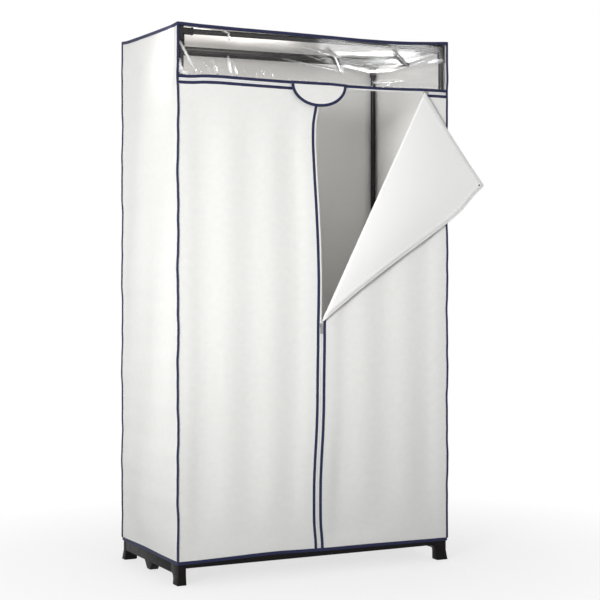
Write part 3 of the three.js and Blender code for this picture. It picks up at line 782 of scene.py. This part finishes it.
coverCloth = {"thickness": 0.0012, "step": 0.0065, "foldDepth": 0.0035, "foldSpacing": 0.14,
              "foldFadeShare": 0.16, "doorWave": 0.0035, "doorFade": 0.06, "sideWave": 0.00245,
              "sideBillow": 0.0075, "billowFade": 0.2, "sideFade": (0.07, 0.09), "backWave": 0.004,
              "backFade": (0.09, 0.09), "roofWave": 0.002, "roofDip": 0.001, "roofFade": (0.12, 0.1),
              "pucker": 0.0005, "puckerLength": 0.026, "puckerReach": 0.02, "seamHold": 0.004,
              "flatReach": 0.05, "flatShare": 0.94}


def seamPucker(u, low, high, v):
    reach, hold = coverCloth["puckerReach"], coverCloth["seamHold"]
    near = np.exp(-((u - low) / reach) ** 2) + np.exp(-((high - u) / reach) ** 2)
    gathers = np.sin(2 * math.pi * v / coverCloth["puckerLength"] + 2.5 * np.sin(v * 37))
    return coverCloth["pucker"] * near * gathers * fadeIn(u, low, high, hold)


def doorPlace(low, high, seed):
    (left, _, foot), (right, _, head) = low, high

    def place(x, z):
        share, rise = (x - left) / (right - left), (z - foot) / (head - foot)
        fade = fadeIn(share, 0, 1, coverCloth["foldFadeShare"]) * fadeIn(rise, 0, 1, coverCloth["foldFadeShare"])
        folds = (1 - np.cos(2 * math.pi * (right - x) / coverCloth["foldSpacing"])) / 2
        near = fadeIn(x, left, right, coverCloth["doorFade"]) * fadeIn(z, foot, head, coverCloth["doorFade"])
        wave = np.clip(0.5 + 0.45 * ripple(x, z * 0.6, seed, 0.25, 0.6), 0, 1.2)
        back = coverCloth["foldDepth"] * folds * fade + coverCloth["doorWave"] * wave * near
        back = back + abs(seamPucker(x, left, right, z))
        return settle(np.stack([x, frontY + back, z], 1))
    return place


# Fades in from all four edges of a panel, given its two axes
def fromEdges(u, v, low, high, axes, fades):
    (uAxis, vAxis), (uFade, vFade) = axes, coverCloth[fades]
    return fadeIn(u, low[uAxis], high[uAxis], uFade) * fadeIn(v, low[vAxis], high[vAxis], vFade)


def sidePlace(outX, sign, seed):
    def place(y, z):
        near = fromEdges(y, z, sideLow, sideHigh, (1, 2), "sideFade")
        billow = coverCloth["sideBillow"] * fadeIn(y, sideLow[1], sideHigh[1], coverCloth["billowFade"]) * near
        wave = coverCloth["sideWave"] * ripple(y, z * 0.5, seed, 0.22, 0.5) * near
        out = billow + wave + seamPucker(y, sideLow[1], sideHigh[1], z)
        return settle(np.stack([np.full_like(y, outX) + sign * out, y, z], 1))
    return place


def backPlace(x, z):
    near = fromEdges(x, z, backLow, backHigh, (0, 2), "backFade")
    wave = coverCloth["backWave"] * (0.6 + ripple(x, z * 0.6, 31, 0.25, 0.6)) * near
    return settle(np.stack([x, backY + wave + seamPucker(x, backLow[0], backHigh[0], z), z], 1))


def roofPlace(x, y):
    near = fadeIn(x, backLow[0], backHigh[0], coverCloth["roofFade"][0])
    near = near * fadeIn(y, sideLow[1], sideHigh[1], coverCloth["roofFade"][1])
    wave = coverCloth["roofWave"] * ripple(x, y, 47, 0.12, 0.35) * near
    return settle(np.stack([x, y, roofZ + wave - coverCloth["roofDip"] * near], 1))


def panel(name, node, low, high, place, facesOut=True):
    obj = flatSheet(name, low, high, coverCloth["step"])
    hangSheet(obj, place, coverCloth["thickness"], facesOut)
    return finishPiece(obj, clothFinish, "cloth", root, node)


roofLow, roofHigh = boxOf("cover_roof")
sideLeft = panel("coverSideLeft", "cover_side_left", sideLow[1:], sideHigh[1:], sidePlace(leftX, -1, 11), False)
sideRight = panel("coverSideRight", "cover_side_right", sideLow[1:], sideHigh[1:], sidePlace(rightX, 1, 12))
back = panel("coverBack", "cover_back", backLow[::2], backHigh[::2], backPlace, False)
roof = panel("coverRoof", "cover_roof", roofLow[:2], roofHigh[:2], roofPlace)
leftDoor = panel("doorLeft", "door_left", leftDoorLow[::2], leftDoorHigh[::2],
                 doorPlace(leftDoorLow, leftDoorHigh, 21))

# The right-hand door and its folded corner are one sheet
rightDoor = flatSheet("doorRight", rightDoorLow[::2], rightDoorHigh[::2], coverCloth["step"])
cutAlongCrease(rightDoor, 3, lyingFlat=True)
hungPlace = doorPlace(rightDoorLow, rightDoorHigh, 22)


# The corner pulls flat where it is folded over
def foldedPlace(x, z):
    points = hungPlace(x, z)
    flat = smooth(1.2 + (points - creaseOrigin) @ creaseAcross / coverCloth["flatReach"])
    points[:, 1] = frontY + (points[:, 1] - frontY) * (1 - coverCloth["flatShare"] * flat)
    return foldCorner(points)


hangSheet(rightDoor, foldedPlace, coverCloth["thickness"])
finishPiece(rightDoor, clothFinish, "cloth", None, "door_right", "door_flap", "crease_roll")
foldWithCorner(rightDoor)
print("panels made")


# Pipings along the box's edges, and bindings at the hem, the sill and the doors.
# Each kind of strip gives how wide its edges are rounded, and in how many steps.

trimSize = {"piping": (0.0022, 4), "binding": (0.0009, 3), "tape": (0.00036, 2), "step": 0.012,
            "pipingOver": 0.0014, "uprightOver": 0.003, "bindingOver": 0.0014, "hemOver": 0.0018,
            "hemThick": 0.0028, "tapeBehind": 0.0006, "stormLap": 0.0003}


# A strip between two corners, cut across at each step
def strip(kind, low, high, run, across, sewnEdge):
    obj = block(kind, low, high)
    length = high[run] - low[run]
    selectEdgesAlong(obj, run, 0.9 * length)
    bpy.ops.mesh.subdivide(number_cuts=max(1, int(length / trimSize["step"])))
    bpy.ops.object.mode_set(mode="OBJECT")
    roundEdges(obj, *trimSize[kind])
    mapAlong(obj, run, across, sewnEdge)
    return obj


# Four strips round the cover, those at the sides between the other two
def ringOf(kind, low, high, width, sewnEdge):
    between = low[1] + width / 2, high[1] - width / 2
    return [strip(kind, start, end, run, 2, sewnEdge) for start, end, run in (
        (low, (high[0], low[1] + width, high[2]), 0),
        ((low[0], high[1] - width, low[2]), high, 0),
        ((low[0], between[0], low[2]), (low[0] + width, between[1], high[2]), 1),
        ((high[0] - width, between[0], low[2]), (high[0], between[1], high[2]), 1))]


pipingWidth = pipingHigh[2] - pipingLow[2] + trimSize["pipingOver"]
pipingLow[2] -= trimSize["pipingOver"]
topPiping = joinUnder("topPiping", ringOf("piping", pipingLow, pipingHigh, pipingWidth, pipingLow[2]))
finishTrim(topPiping, bindingFinish, "navy_tape", "top_piping")

for corner in corners:
    low, high = boxOf(f"corner_piping_{corner}")
    high[2] += trimSize["uprightOver"]
    for axis, middle in enumerate((centreX, centreY)):
        if (low + high)[axis] > 2 * middle:
            low[axis] += pipingSlimmer
        else:
            high[axis] -= pipingSlimmer
    upright = strip("piping", low, high, 2, 0, high[0] if "left" in corner else low[0])
    upright.name = camelName(f"piping_{corner}")
    finishTrim(upright, bindingFinish, "navy_tape", f"corner_piping_{corner}")

hemHigh[2] += trimSize["hemOver"]
hem = joinUnder("hemBand", ringOf("binding", hemLow, hemHigh, trimSize["hemThick"], hemHigh[2]))
finishTrim(hem, bindingFinish, "navy_tape", "hem_band")

halfBinding = (leftBindingHigh[1] - leftBindingLow[1]) / 2
bindingWide = rightBindingHigh[0] - rightBindingLow[0] + trimSize["bindingOver"]
rightBindingHigh[0] += trimSize["bindingOver"]
sillTop = sillHigh[2] + trimSize["bindingOver"]
headLow = doorHead - bindingWide
stormLow, stormHigh = boxOf("storm_flap_binding")
sillBinding = joinUnder("sillBinding", [
    strip("binding", (sillLow[0], frontY - halfBinding, sillLow[2]), (sillHigh[0], frontY + halfBinding, sillTop),
          0, 2, sillTop),
    strip("binding", (*stormLow[:2], sillLow[2] + trimSize["stormLap"]), (stormHigh[0], frontY, sillTop),
          0, 2, sillTop),
])
finishTrim(sillBinding, bindingFinish, "navy_tape", "sill_binding")

# The outside binding of the right-hand door is laid closed and folded with the cloth
leftEdge, rightEdge = leftBindingHigh[0] - bindingWide, rightBindingHigh[0]
leftBinding = joinUnder("doorBindingLeft", [
    strip("binding", (leftEdge, *leftBindingLow[1:]), leftBindingHigh, 2, 0, leftEdge),
    strip("binding", (*leftBindingLow[:2], headLow),
          (leftBindingHigh[0] - bindingWide / 2, leftBindingHigh[1], doorHead), 0, 2, headLow),
])
finishTrim(leftBinding, bindingFinish, "navy_tape", "door_binding_left")
tapeBack = frontY + trimSize["tapeBehind"]
rightBinding = joinUnder("doorBindingRight", [
    strip("binding", rightBindingLow, (rightEdge, tapeBack, doorHead), 2, 0, rightEdge),
    strip("binding", (rightEdge - bindingWide / 2, rightBindingLow[1], headLow),
          (rightDoorHigh[0], tapeBack, doorHead), 0, 2, headLow),
])
cutAlongCrease(rightBinding, 4)
finishTrim(rightBinding, bindingFinish, "navy_tape", "door_binding_right_side", "door_binding_right_top",
           "door_flap_binding", folded=True)
print("trims made")


# Zip tapes and their coils

zipSize = {"half": 0.0062, "gap": 0.0006, "thick": 0.0008, "lap": 0.001, "headLap": 0.0002,
           "innerReach": 0.0155, "innerBehind": (0.0007, 0.0015), "pitch": 0.002, "tooth": 0.0029,
           "reach": 0.0006, "toothRadius": 0.00046, "toothRound": 0.0002, "toothDepth": 2.3, "clear": 0.003,
           "leftClear": 0.004, "rightClear": 0.002}
tapeFoot = rightBindingLow[2]
halfTape = zipSize["thick"] / 2
zipHead = topZipZ - zipSize["gap"]


# The upright zip is sewn down beside its line, the top ones below and above theirs
def flatTape(start, end, run, behind=(-halfTape, halfTape)):
    low, high = (start[0], frontY + behind[0], start[1]), (end[0], frontY + behind[1], end[1])
    return strip("tape", low, high, run, 2 - run, zipX if run == 2 else topZipZ)


def coilRow(x, z, end, run, shift):
    middle = Vector((x, frontY, z)) + alongAxis(2 - run, shift)
    halfTooth = alongAxis(2 - run, zipSize["tooth"] / 2)
    tooth = roundBar("tooth", zipSize["toothRadius"], middle - halfTooth, middle + halfTooth, 8)
    points = pointsOf(tooth)
    points[:, 1] = frontY + (points[:, 1] - frontY) * zipSize["toothDepth"]
    placePoints(tooth, points)
    roundEdges(tooth, zipSize["toothRound"], 1, 60)
    row = tooth.modifiers.new("row", "ARRAY")
    row.count = int((end - (z if run == 2 else x)) / zipSize["pitch"])
    row.use_relative_offset, row.use_constant_offset = False, True
    row.constant_offset_displace = alongAxis(run, zipSize["pitch"])
    finishModifiers(tooth)
    return tooth


zipTapeLeft = joinUnder("zipTapeLeft", [
    flatTape((zipX - zipSize["half"] - zipSize["lap"], tapeFoot), (zipX - zipSize["gap"], zipHead), 2),
    flatTape((leftDoorLow[0], doorHead - zipSize["lap"]), (zipX - zipSize["half"], zipHead), 0),
])
finishTrim(zipTapeLeft, tapeFinish, "zip_tape", "zip_tape_left_side", "zip_tape_top_left")

sillTape = flatTape((sillLow[0], topZipZ + zipSize["gap"]), (sillHigh[0], sillLow[2] + zipSize["lap"]), 0)
sillTape.name = "zipTapeSill"
finishTrim(sillTape, tapeFinish, "zip_tape", "zip_tape_sill")

tapeSide = zipX + zipSize["half"]
rightTape = joinUnder("zipTapeRight", [
    flatTape((zipX + zipSize["gap"], tapeFoot), (tapeSide + zipSize["lap"], zipHead), 2),
    flatTape((tapeSide, tapeFoot), (zipX + zipSize["innerReach"], doorHead + zipSize["headLap"]), 2,
             zipSize["innerBehind"]),
    flatTape((tapeSide, doorHead - zipSize["lap"]), (rightDoorHigh[0], zipHead), 0),
    flatTape((tapeSide, topZipZ - zipSize["innerReach"]), (rightDoorHigh[0], doorHead), 0,
             zipSize["innerBehind"]),
])
cutAlongCrease(rightTape, 4)
finishTrim(rightTape, tapeFinish, "zip_tape", "zip_tape_right_side", "zip_tape_top_right", "zip_tape_flap",
           folded=True)

# Each tooth reaches a little past the zip's line, between two of the other side's
toothShift, halfPitch = zipSize["tooth"] / 2 - zipSize["reach"], zipSize["pitch"] / 2
coilFoot, coilStart = tapeFoot + zipSize["clear"], leftDoorLow[0] + zipSize["clear"]
coilLeft = joinUnder("zipCoilLeft", [
    coilRow(zipX, coilFoot, zipHead, 2, -toothShift),
    coilRow(coilStart, topZipZ, zipX - zipSize["leftClear"], 0, -toothShift),
])
finishTrim(coilLeft, coilFinish, "zip_tape")
coilSill = coilRow(coilStart + halfPitch, topZipZ, rightDoorHigh[0], 0, toothShift)
coilSill.name = "zipCoilSill"
finishTrim(coilSill, coilFinish, "zip_tape")
coilRight = joinUnder("zipCoilRight", [
    coilRow(zipX, coilFoot + halfPitch, zipHead - zipSize["rightClear"], 2, toothShift),
    coilRow(zipX + zipSize["clear"], topZipZ, rightDoorHigh[0], 0, -toothShift),
])
finishTrim(coilRight, coilFinish, "zip_tape", folded=True)

# Moulded end stop at the free corner of the folded door, given by its sides from the zip and behind the cover
stopSize = {"near": 0.0116, "far": 0.016, "front": -0.0012, "back": 0.0026, "round": 0.0006}
stop = block("cornerStop", (zipX + stopSize["near"], frontY + stopSize["front"], zipHead - stopSize["far"]),
             (zipX + stopSize["far"], frontY + stopSize["back"], zipHead - stopSize["near"]))
roundEdges(stop, stopSize["round"], 3)
settlePiece(stop, folded=True)
softShade(stop)
finishPiece(stop, plasticFinish, "black_plastic", "folded_corner")
print("zips made")


# Sliders and pulls. Pieces of one casting sink into each other by "sunk".

sliderSize = {"width": 0.008, "length": 0.016, "plate": 0.0012, "channel": 0.0016, "footShare": 0.78,
              "cornerRound": 0.0018, "plateRound": 0.00028, "lip": 0.0008, "lipReach": 0.0008,
              "lipShare": 0.2, "lipClear": (0.0005, 0.001), "sunk": 0.0002, "stud": 0.0009, "head": 0.0019,
              "headThick": 0.0007, "headRound": 0.0002, "clear": 0.0003}
pullSize = {"thick": 0.001, "length": 0.0235, "width": 0.0064, "round": 0.00016, "rim": 0.0012, "footRim": 0.0022,
            "headRim": 0.0045, "well": 0.0003}


def makeSlider(zipName, turned):
    x, _, z = middleOf(f"zip_slider_{zipName}")
    wide, long, sunk = sliderSize["width"] / 2, sliderSize["length"] / 2, sliderSize["sunk"]
    inner, outer = sliderSize["channel"], sliderSize["channel"] + sliderSize["plate"]
    lipHalf, lipFoot = sliderSize["lipReach"] / 2, sliderSize["lipClear"][0] - long * sliderSize["lipShare"]
    lipHead = long - sliderSize["lipClear"][1]
    parts = []
    for side in (-1, 1):
        plate = block("plate", (x - wide, frontY + side * inner, z - long),
                      (x + wide, frontY + side * outer, z + long))
        points = pointsOf(plate)
        atFoot = points[:, 2] < z
        points[atFoot, 0] = x + (points[atFoot, 0] - x) * sliderSize["footShare"]
        placePoints(plate, points)
        selectEdgesAlong(plate, 1, 0.9 * sliderSize["plate"])
        bpy.ops.mesh.bevel(offset=sliderSize["cornerRound"], segments=4)
        bpy.ops.object.mode_set(mode="OBJECT")
        roundEdges(plate, sliderSize["plateRound"])
        parts.append(plate)
        for edge in (-1, 1):
            lipX = x + edge * (wide - lipHalf - sunk)
            parts.append(block("lip", (lipX - lipHalf, frontY + side * sliderSize["lip"], z + lipFoot),
                               (lipX + lipHalf, frontY + side * (inner + sunk), z + lipHead)))
    face = frontY - outer
    studEnd = face - 2 * sliderSize["clear"] - pullSize["thick"]
    parts.append(roundBar("stud", sliderSize["stud"], (x, face + sunk, z), (x, studEnd - sunk, z), 32))
    head = roundBar("head", sliderSize["head"], (x, studEnd, z), (x, studEnd - sliderSize["headThick"], z), 32)
    roundEdges(head, sliderSize["headRound"])
    slider = joinUnder(camelName(f"zip_slider_{zipName}"), [*parts, head])
    if turned:
        middle = np.array([x, frontY, z])
        points = pointsOf(slider) - middle
        placePoints(slider, np.stack([points[:, 2], points[:, 1], -points[:, 0]], 1) + middle)
    softShade(slider)
    finishPiece(slider, metalFinish, "zip_metal", f"slider_{zipName}", f"zip_slider_{zipName}")
    return x, studEnd, z


def makePull(zipName, x, studEnd, z):
    half, front, foot = pullSize["width"] / 2, studEnd + sliderSize["clear"], z - pullSize["length"]
    back = front + pullSize["thick"]
    pull = block(camelName(f"zip_pull_{zipName}"), (x - half, front, foot), (x + half, back, z + half))
    selectEdgesAlong(pull, 1, 0.9 * pullSize["thick"])
    bpy.ops.mesh.bevel(offset=half * 0.98, segments=10)
    bpy.ops.object.mode_set(mode="OBJECT")
    past, rim = 0.002, half - pullSize["rim"]
    combine(pull, "DIFFERENCE", [
        roundBar("hole", sliderSize["stud"] + sliderSize["clear"], (x, front - past, z), (x, back + past, z)),
        block("well", (x - rim, front - past, foot + pullSize["footRim"]),
              (x + rim, front + pullSize["well"], z - pullSize["headRim"])),
    ])
    roundEdges(pull, pullSize["round"], 2, 50)
    softShade(pull)
    finishPiece(pull, metalFinish, "zip_metal", f"pull_{zipName}", f"zip_pull_{zipName}")


for zipName, turned in (("front", False), ("top_right", True), ("top_left", True)):
    makePull(zipName, *makeSlider(zipName, turned))
print("sliders made")


# Storm flap over the meeting point of the zips

stormShape = {"thickness": 0.0012, "curl": 0.0035, "wave": 0.0008, "rings": 14, "edgeRings": 3, "spokes": 72,
              "lap": 0.001}
stormMiddle, stormY, _ = (stormLow + stormHigh) / 2
stormHalf, stormDrop = (stormHigh[0] - stormLow[0]) / 2, stormHigh[2] - stormLow[2]


def stormPlace(x, z):
    drop = (stormHigh[2] - z) / stormDrop
    side = (x - stormMiddle) / stormHalf
    out = stormShape["curl"] * drop ** 2 + stormShape["wave"] * np.sin(side * 5.2 + 0.6) * drop
    return x, stormY - out, z


# Rings of points between two half ovals. A band's map runs along it, a whole sheet's lies flat.
def halfOval(name, inner, outer, rings, thickness):
    turns = np.linspace(math.pi, 2 * math.pi, stormShape["spokes"] + 1)
    mesh = bmesh.new()
    layer = mesh.loops.layers.uv.new("UVMap")
    grid, marks = [], {}
    for share in np.linspace(0, 1, rings + 1):
        wide, drop = inner[0] + (outer[0] - inner[0]) * share, inner[1] + (outer[1] - inner[1]) * share
        row = []
        for turn in turns:
            x, z = stormMiddle + wide * math.cos(turn), stormHigh[2] + drop * math.sin(turn)
            row.append(mesh.verts.new(stormPlace(x, z)))
            along = turn * (stormHalf + stormDrop) / 2
            marks[row[-1]] = (along, share * (outer[1] - inner[1])) if inner[0] else (x, z)
        grid.append(row)
    for low, high in zip(grid, grid[1:]):
        for n in range(len(turns) - 1):
            face = mesh.faces.new((low[n], low[n + 1], high[n + 1], high[n]))
            for loop in face.loops:
                loop[layer].uv = marks[loop.vert]
    bmesh.ops.remove_doubles(mesh, verts=mesh.verts, dist=0.00002)
    bmesh.ops.dissolve_degenerate(mesh, edges=mesh.edges, dist=0.00001)
    bmesh.ops.recalc_face_normals(mesh, faces=mesh.faces)
    data = bpy.data.meshes.new(name)
    mesh.to_mesh(data)
    mesh.free()
    obj = bpy.data.objects.new(name, data)
    bpy.context.collection.objects.link(obj)
    solid = obj.modifiers.new("thickness", "SOLIDIFY")
    solid.thickness, solid.offset = thickness, 0
    finishModifiers(obj)
    return obj


innerOval = (stormHalf - bindingWide, stormDrop - bindingWide)
stormCloth = halfOval("stormFlapCloth", (0, 0), [size + stormShape["lap"] for size in innerOval],
                      stormShape["rings"], stormShape["thickness"])
softShade(stormCloth, 50)
finishPiece(stormCloth, clothFinish, "cloth", "storm_flap", "storm_flap")
stormEdge = halfOval("stormFlapBinding", innerOval, (stormHalf, stormDrop), stormShape["edgeRings"],
                     2 * halfBinding)
roundEdges(stormEdge, *trimSize["binding"], 60)
softShade(stormEdge)
finishPiece(stormEdge, bindingFinish, "navy_tape", "storm_flap", "storm_flap_binding")
print("storm flap made")


# Window film, creased where it was packed and along its sill

# Each crease: start and end from the window's lower left corner, half width, height, and how white it is painted,
# mostly a painted reflection of the lamps with some of the crumpled film's own haze
filmCreases = [
    (0.004, 0.092, 0.052, 0.01, 0.0044, 0.001, 0.95), (0.0, 0.034, 0.017, 0.008, 0.0046, 0.0012, 0.95),
    (0.004, 0.044, 0.006, 0.002, 0.0042, 0.0008, 0.9), (0.004, 0.012, 0.03, 0.003, 0.006, 0.0008, 0.95),
    (0.058, 0.022, 0.07, 0.004, 0.0036, 0.0008, 0.5), (0.075, 0.04, 0.083, 0.022, 0.0032, 0.0006, 0.5),
    (0.09, 0.022, 0.097, 0.002, 0.0032, 0.0007, 0.55), (0.098, 0.046, 0.116, 0.02, 0.0034, 0.001, 0.6),
    (0.104, 0.03, 0.118, 0.002, 0.004, 0.001, 0.75), (0.128, 0.022, 0.138, 0.002, 0.0034, 0.0008, 0.55),
    (0.15, 0.058, 0.157, 0.0, 0.0044, 0.0011, 0.95), (0.166, 0.044, 0.178, 0.0, 0.0036, 0.0009, 0.8),
    (0.2, 0.02, 0.214, 0.004, 0.003, 0.0007, 0.35),
    (0.236, 0.018, 0.24, 0.004, 0.0028, 0.0006, 0.25), (0.25, 0.034, 0.262, 0.008, 0.0034, 0.0008, 0.35),
    (0.286, 0.022, 0.29, 0.004, 0.0028, 0.0005, 0.25), (0.134, 0.136, 0.154, 0.131, 0.0034, 0.0004, 0.7),
    (0.15, 0.134, 0.155, 0.112, 0.0034, 0.0007, 0.8),
    (0.323, 0.066, 0.51, 0.038, 0.0032, 0.0008, 0.4), (0.358, 0.097, 0.46, 0.064, 0.003, 0.0007, 0.25),
    (0.493, 0.088, 0.514, 0.034, 0.0046, 0.0009, 0.8), (0.38, 0.108, 0.44, 0.1, 0.0042, 0.0007, 0.35),
    (0.42, 0.1, 0.5, 0.086, 0.005, 0.0006, 0.35), (0.47, 0.11, 0.5, 0.07, 0.004, 0.0007, 0.3),
    (0.53, 0.056, 0.61, 0.042, 0.009, 0.0003, 0.25), (0.6, 0.04, 0.7, 0.052, 0.01, 0.0003, 0.24),
    (0.69, 0.052, 0.77, 0.074, 0.009, 0.0003, 0.24), (0.76, 0.076, 0.862, 0.09, 0.008, 0.0003, 0.6),
    (0.49, 0.096, 0.62, 0.1, 0.01, 0.0002, 0.2), (0.61, 0.106, 0.78, 0.11, 0.013, 0.0002, 0.18),
    (0.6, 0.078, 0.82, 0.088, 0.02, 0.0001, 0.13),
    (0.7, 0.056, 0.84, 0.104, 0.005, 0.0008, 0.3), (0.69, 0.118, 0.74, 0.07, 0.004, 0.0007, 0.25),
    (0.62, 0.01, 0.72, 0.02, 0.0036, 0.0006, 0.35), (0.66, 0.0, 0.69, 0.014, 0.003, 0.0006, 0.3),
]
filmShape = {"thickness": 0.0006, "step": 0.002, "slack": 0.00006, "fade": (0.012, 0.008), "gather": 0.0004,
             "gatherSpacing": 0.017, "gatherReach": 0.012}


# Nearness to one crease, from 0 to 1, and how far it has run out towards its ends
def nearCrease(u, v, crease):
    u0, v0, u1, v1, wide = crease[:5]
    along = np.array([u1 - u0, v1 - v0])
    t = np.clip(((u - u0) * along[0] + (v - v0) * along[1]) / (along @ along), 0, 1)
    away = np.hypot(u - u0 - t * along[0], v - v0 - t * along[1])
    return np.exp(-((away / wide) ** 2)), 0.35 + 0.65 * np.sin(math.pi * t)


def filmPlace(x, z):
    u, v = x - filmLow[0], z - filmLow[2]
    edge = fadeIn(x, filmLow[0], filmHigh[0], filmShape["fade"][0])
    edge = edge * fadeIn(z, filmLow[2], filmHigh[2], filmShape["fade"][1])
    out = filmShape["slack"] * ripple(u, v * 1.6, 63, 0.11, 0.3) * edge
    for crease in filmCreases:
        near, share = nearCrease(u, v, crease)
        out = out + crease[5] * near * share * edge
    gathers = np.sin(u * 2 * math.pi / filmShape["gatherSpacing"] + 3 * np.sin(u * 23))
    gathers = filmShape["gather"] * gathers * np.exp(-v / filmShape["gatherReach"]) * edge
    return settle(np.stack([x, frontY - out - gathers, z], 1))


film = flatSheet("windowFilm", filmLow[::2], filmHigh[::2], filmShape["step"])
flatU, flatV = (pointsOf(film)[:, :2] - filmLow[::2]).T
whiteningAndGlare = np.zeros(len(flatU))
# How white each crease is painted: mostly a painted reflection, with some of the film's own haze
for crease in filmCreases:
    near, share = nearCrease(flatU, flatV, crease)
    broken = 0.78 + 0.22 * np.sin(flatU * 410 + flatV * 730 + 9 * crease[0])
    whiteningAndGlare = np.maximum(whiteningAndGlare, crease[6] * smooth((near * broken - 0.2) / 0.4) * share)
film.data.attributes.new("whiteningAndGlare", "FLOAT", "POINT").data.foreach_set("value", whiteningAndGlare.astype(np.float32))
hangSheet(film, filmPlace, filmShape["thickness"])
finishPiece(film, filmFinish, "clear_film", root, "window_film")
print("window made")


# Floor, lights and camera

roomLight = {"ambient": 0.52, "key": 11.3, "shine": 0.55, "inside": 0.98}
floorLook = {"colour": (0.86, 0.86, 0.86), "rough": (0.6, 0.6), "gloss": 0.1, "nearShade": 0.04,
             "shadeReach": (0.5, 2.2), "glowReach": (0.5, 1.4), "nearGlow": 0.7}
plainWhite = (1.0, 1.0, 1.0, 1)


# How much of a ray's view is the plain white room: all of it for the camera, for gloss and through film
def seenWhite(tree):
    path = addNode(tree, "ShaderNodeLightPath")
    seen = calc(tree, "MAXIMUM", path.outputs["Is Camera Ray"], path.outputs["Is Glossy Ray"])
    return calc(tree, "MAXIMUM", seen, path.outputs["Is Transmission Ray"])


def chooseShader(tree, share, first, second, output):
    choose = addNode(tree, "ShaderNodeMixShader", i0=share, i1=first.outputs[0], i2=second.outputs[0])
    tree.links.new(choose.outputs[0], output.inputs["Surface"])


world = bpy.data.worlds.new("room")
bpy.context.scene.world = world
world.use_nodes = True
tree = world.node_tree
tree.nodes.clear()
soft, white = [addNode(tree, "ShaderNodeBackground", i0=plainWhite, i1=strength)
               for strength in (roomLight["ambient"], 1.0)]
chooseShader(tree, seenWhite(tree), soft, white, addNode(tree, "ShaderNodeOutputWorld"))

bpy.ops.object.select_all(action="DESELECT")
bpy.ops.mesh.primitive_plane_add(size=30, location=(0, 0, 0))
floor = bpy.context.object
floor.name = "floor"
floorMaterial, tree, shader, place = startMaterial("paleFloor", floorLook)
pale = floorLook["colour"][0]
away = addNode(tree, "ShaderNodeVectorMath", {"operation": "LENGTH"}, i0=place).outputs["Value"]
shade = ramp(tree, away, *floorLook["shadeReach"], floorLook["nearShade"], pale)
feed(tree, shader, Colour=calc(tree, "MAXIMUM", shade, calc(tree, "MULTIPLY", seenWhite(tree), pale)))
glow = ramp(tree, away, *floorLook["glowReach"], floorLook["nearGlow"], 1.0)
shine = addNode(tree, "ShaderNodeEmission", i0=plainWhite, i1=1.0)
chooseShader(tree, calc(tree, "MULTIPLY", seenWhite(tree), glow), shader, shine, tree.nodes["Material Output"])
floor.data.materials.append(floorMaterial)


def softLamp(name, place, target, size, power, spread=180, colour=(1, 1, 1)):
    lamp = bpy.data.lights.new(name, "AREA")
    lamp.shape, lamp.size, lamp.size_y = "RECTANGLE", *size
    lamp.energy, lamp.spread, lamp.color = power, math.radians(spread), colour
    obj = bpy.data.objects.new(name, lamp)
    bpy.context.collection.objects.link(obj)
    obj.location = place
    obj.rotation_euler = (Vector(target) - Vector(place)).to_track_quat("-Z", "Y").to_euler()


softLamp("keyLamp", (-3.12, -2.6, 1.25), (-0.23, -0.1, 0.88), (1.2, 1.2), roomLight["key"], 50)
softLamp("shineLamp", (1.52, -2.86, 1.938), (0.15, -0.24, 1.52), (0.56, 0.155), roomLight["shine"], 70)
softLamp("insideLamp", (centreX - 0.3, frontY + 0.05, 1.52), (centreX - 0.34, backY, 1.52), (0.5, 0.14),
         roomLight["inside"], colour=(1, 0.955, 0.93))

view = {"place": (-2.124, -4.5389, 0.9216), "turn": -28.07, "lens": 96.49, "shiftX": -0.1458,
        "shiftY": -0.0649}
camera = bpy.data.cameras.new("camera")
camera.lens, camera.sensor_width = view["lens"], 36
camera.shift_x, camera.shift_y = view["shiftX"], view["shiftY"]
viewer = bpy.data.objects.new("camera", camera)
bpy.context.collection.objects.link(viewer)
viewer.location = view["place"]
viewer.rotation_euler = (math.radians(90), 0, math.radians(view["turn"]))
bpy.context.scene.camera = viewer
bpy.context.scene.view_settings.view_transform = "Standard"
print("room made")
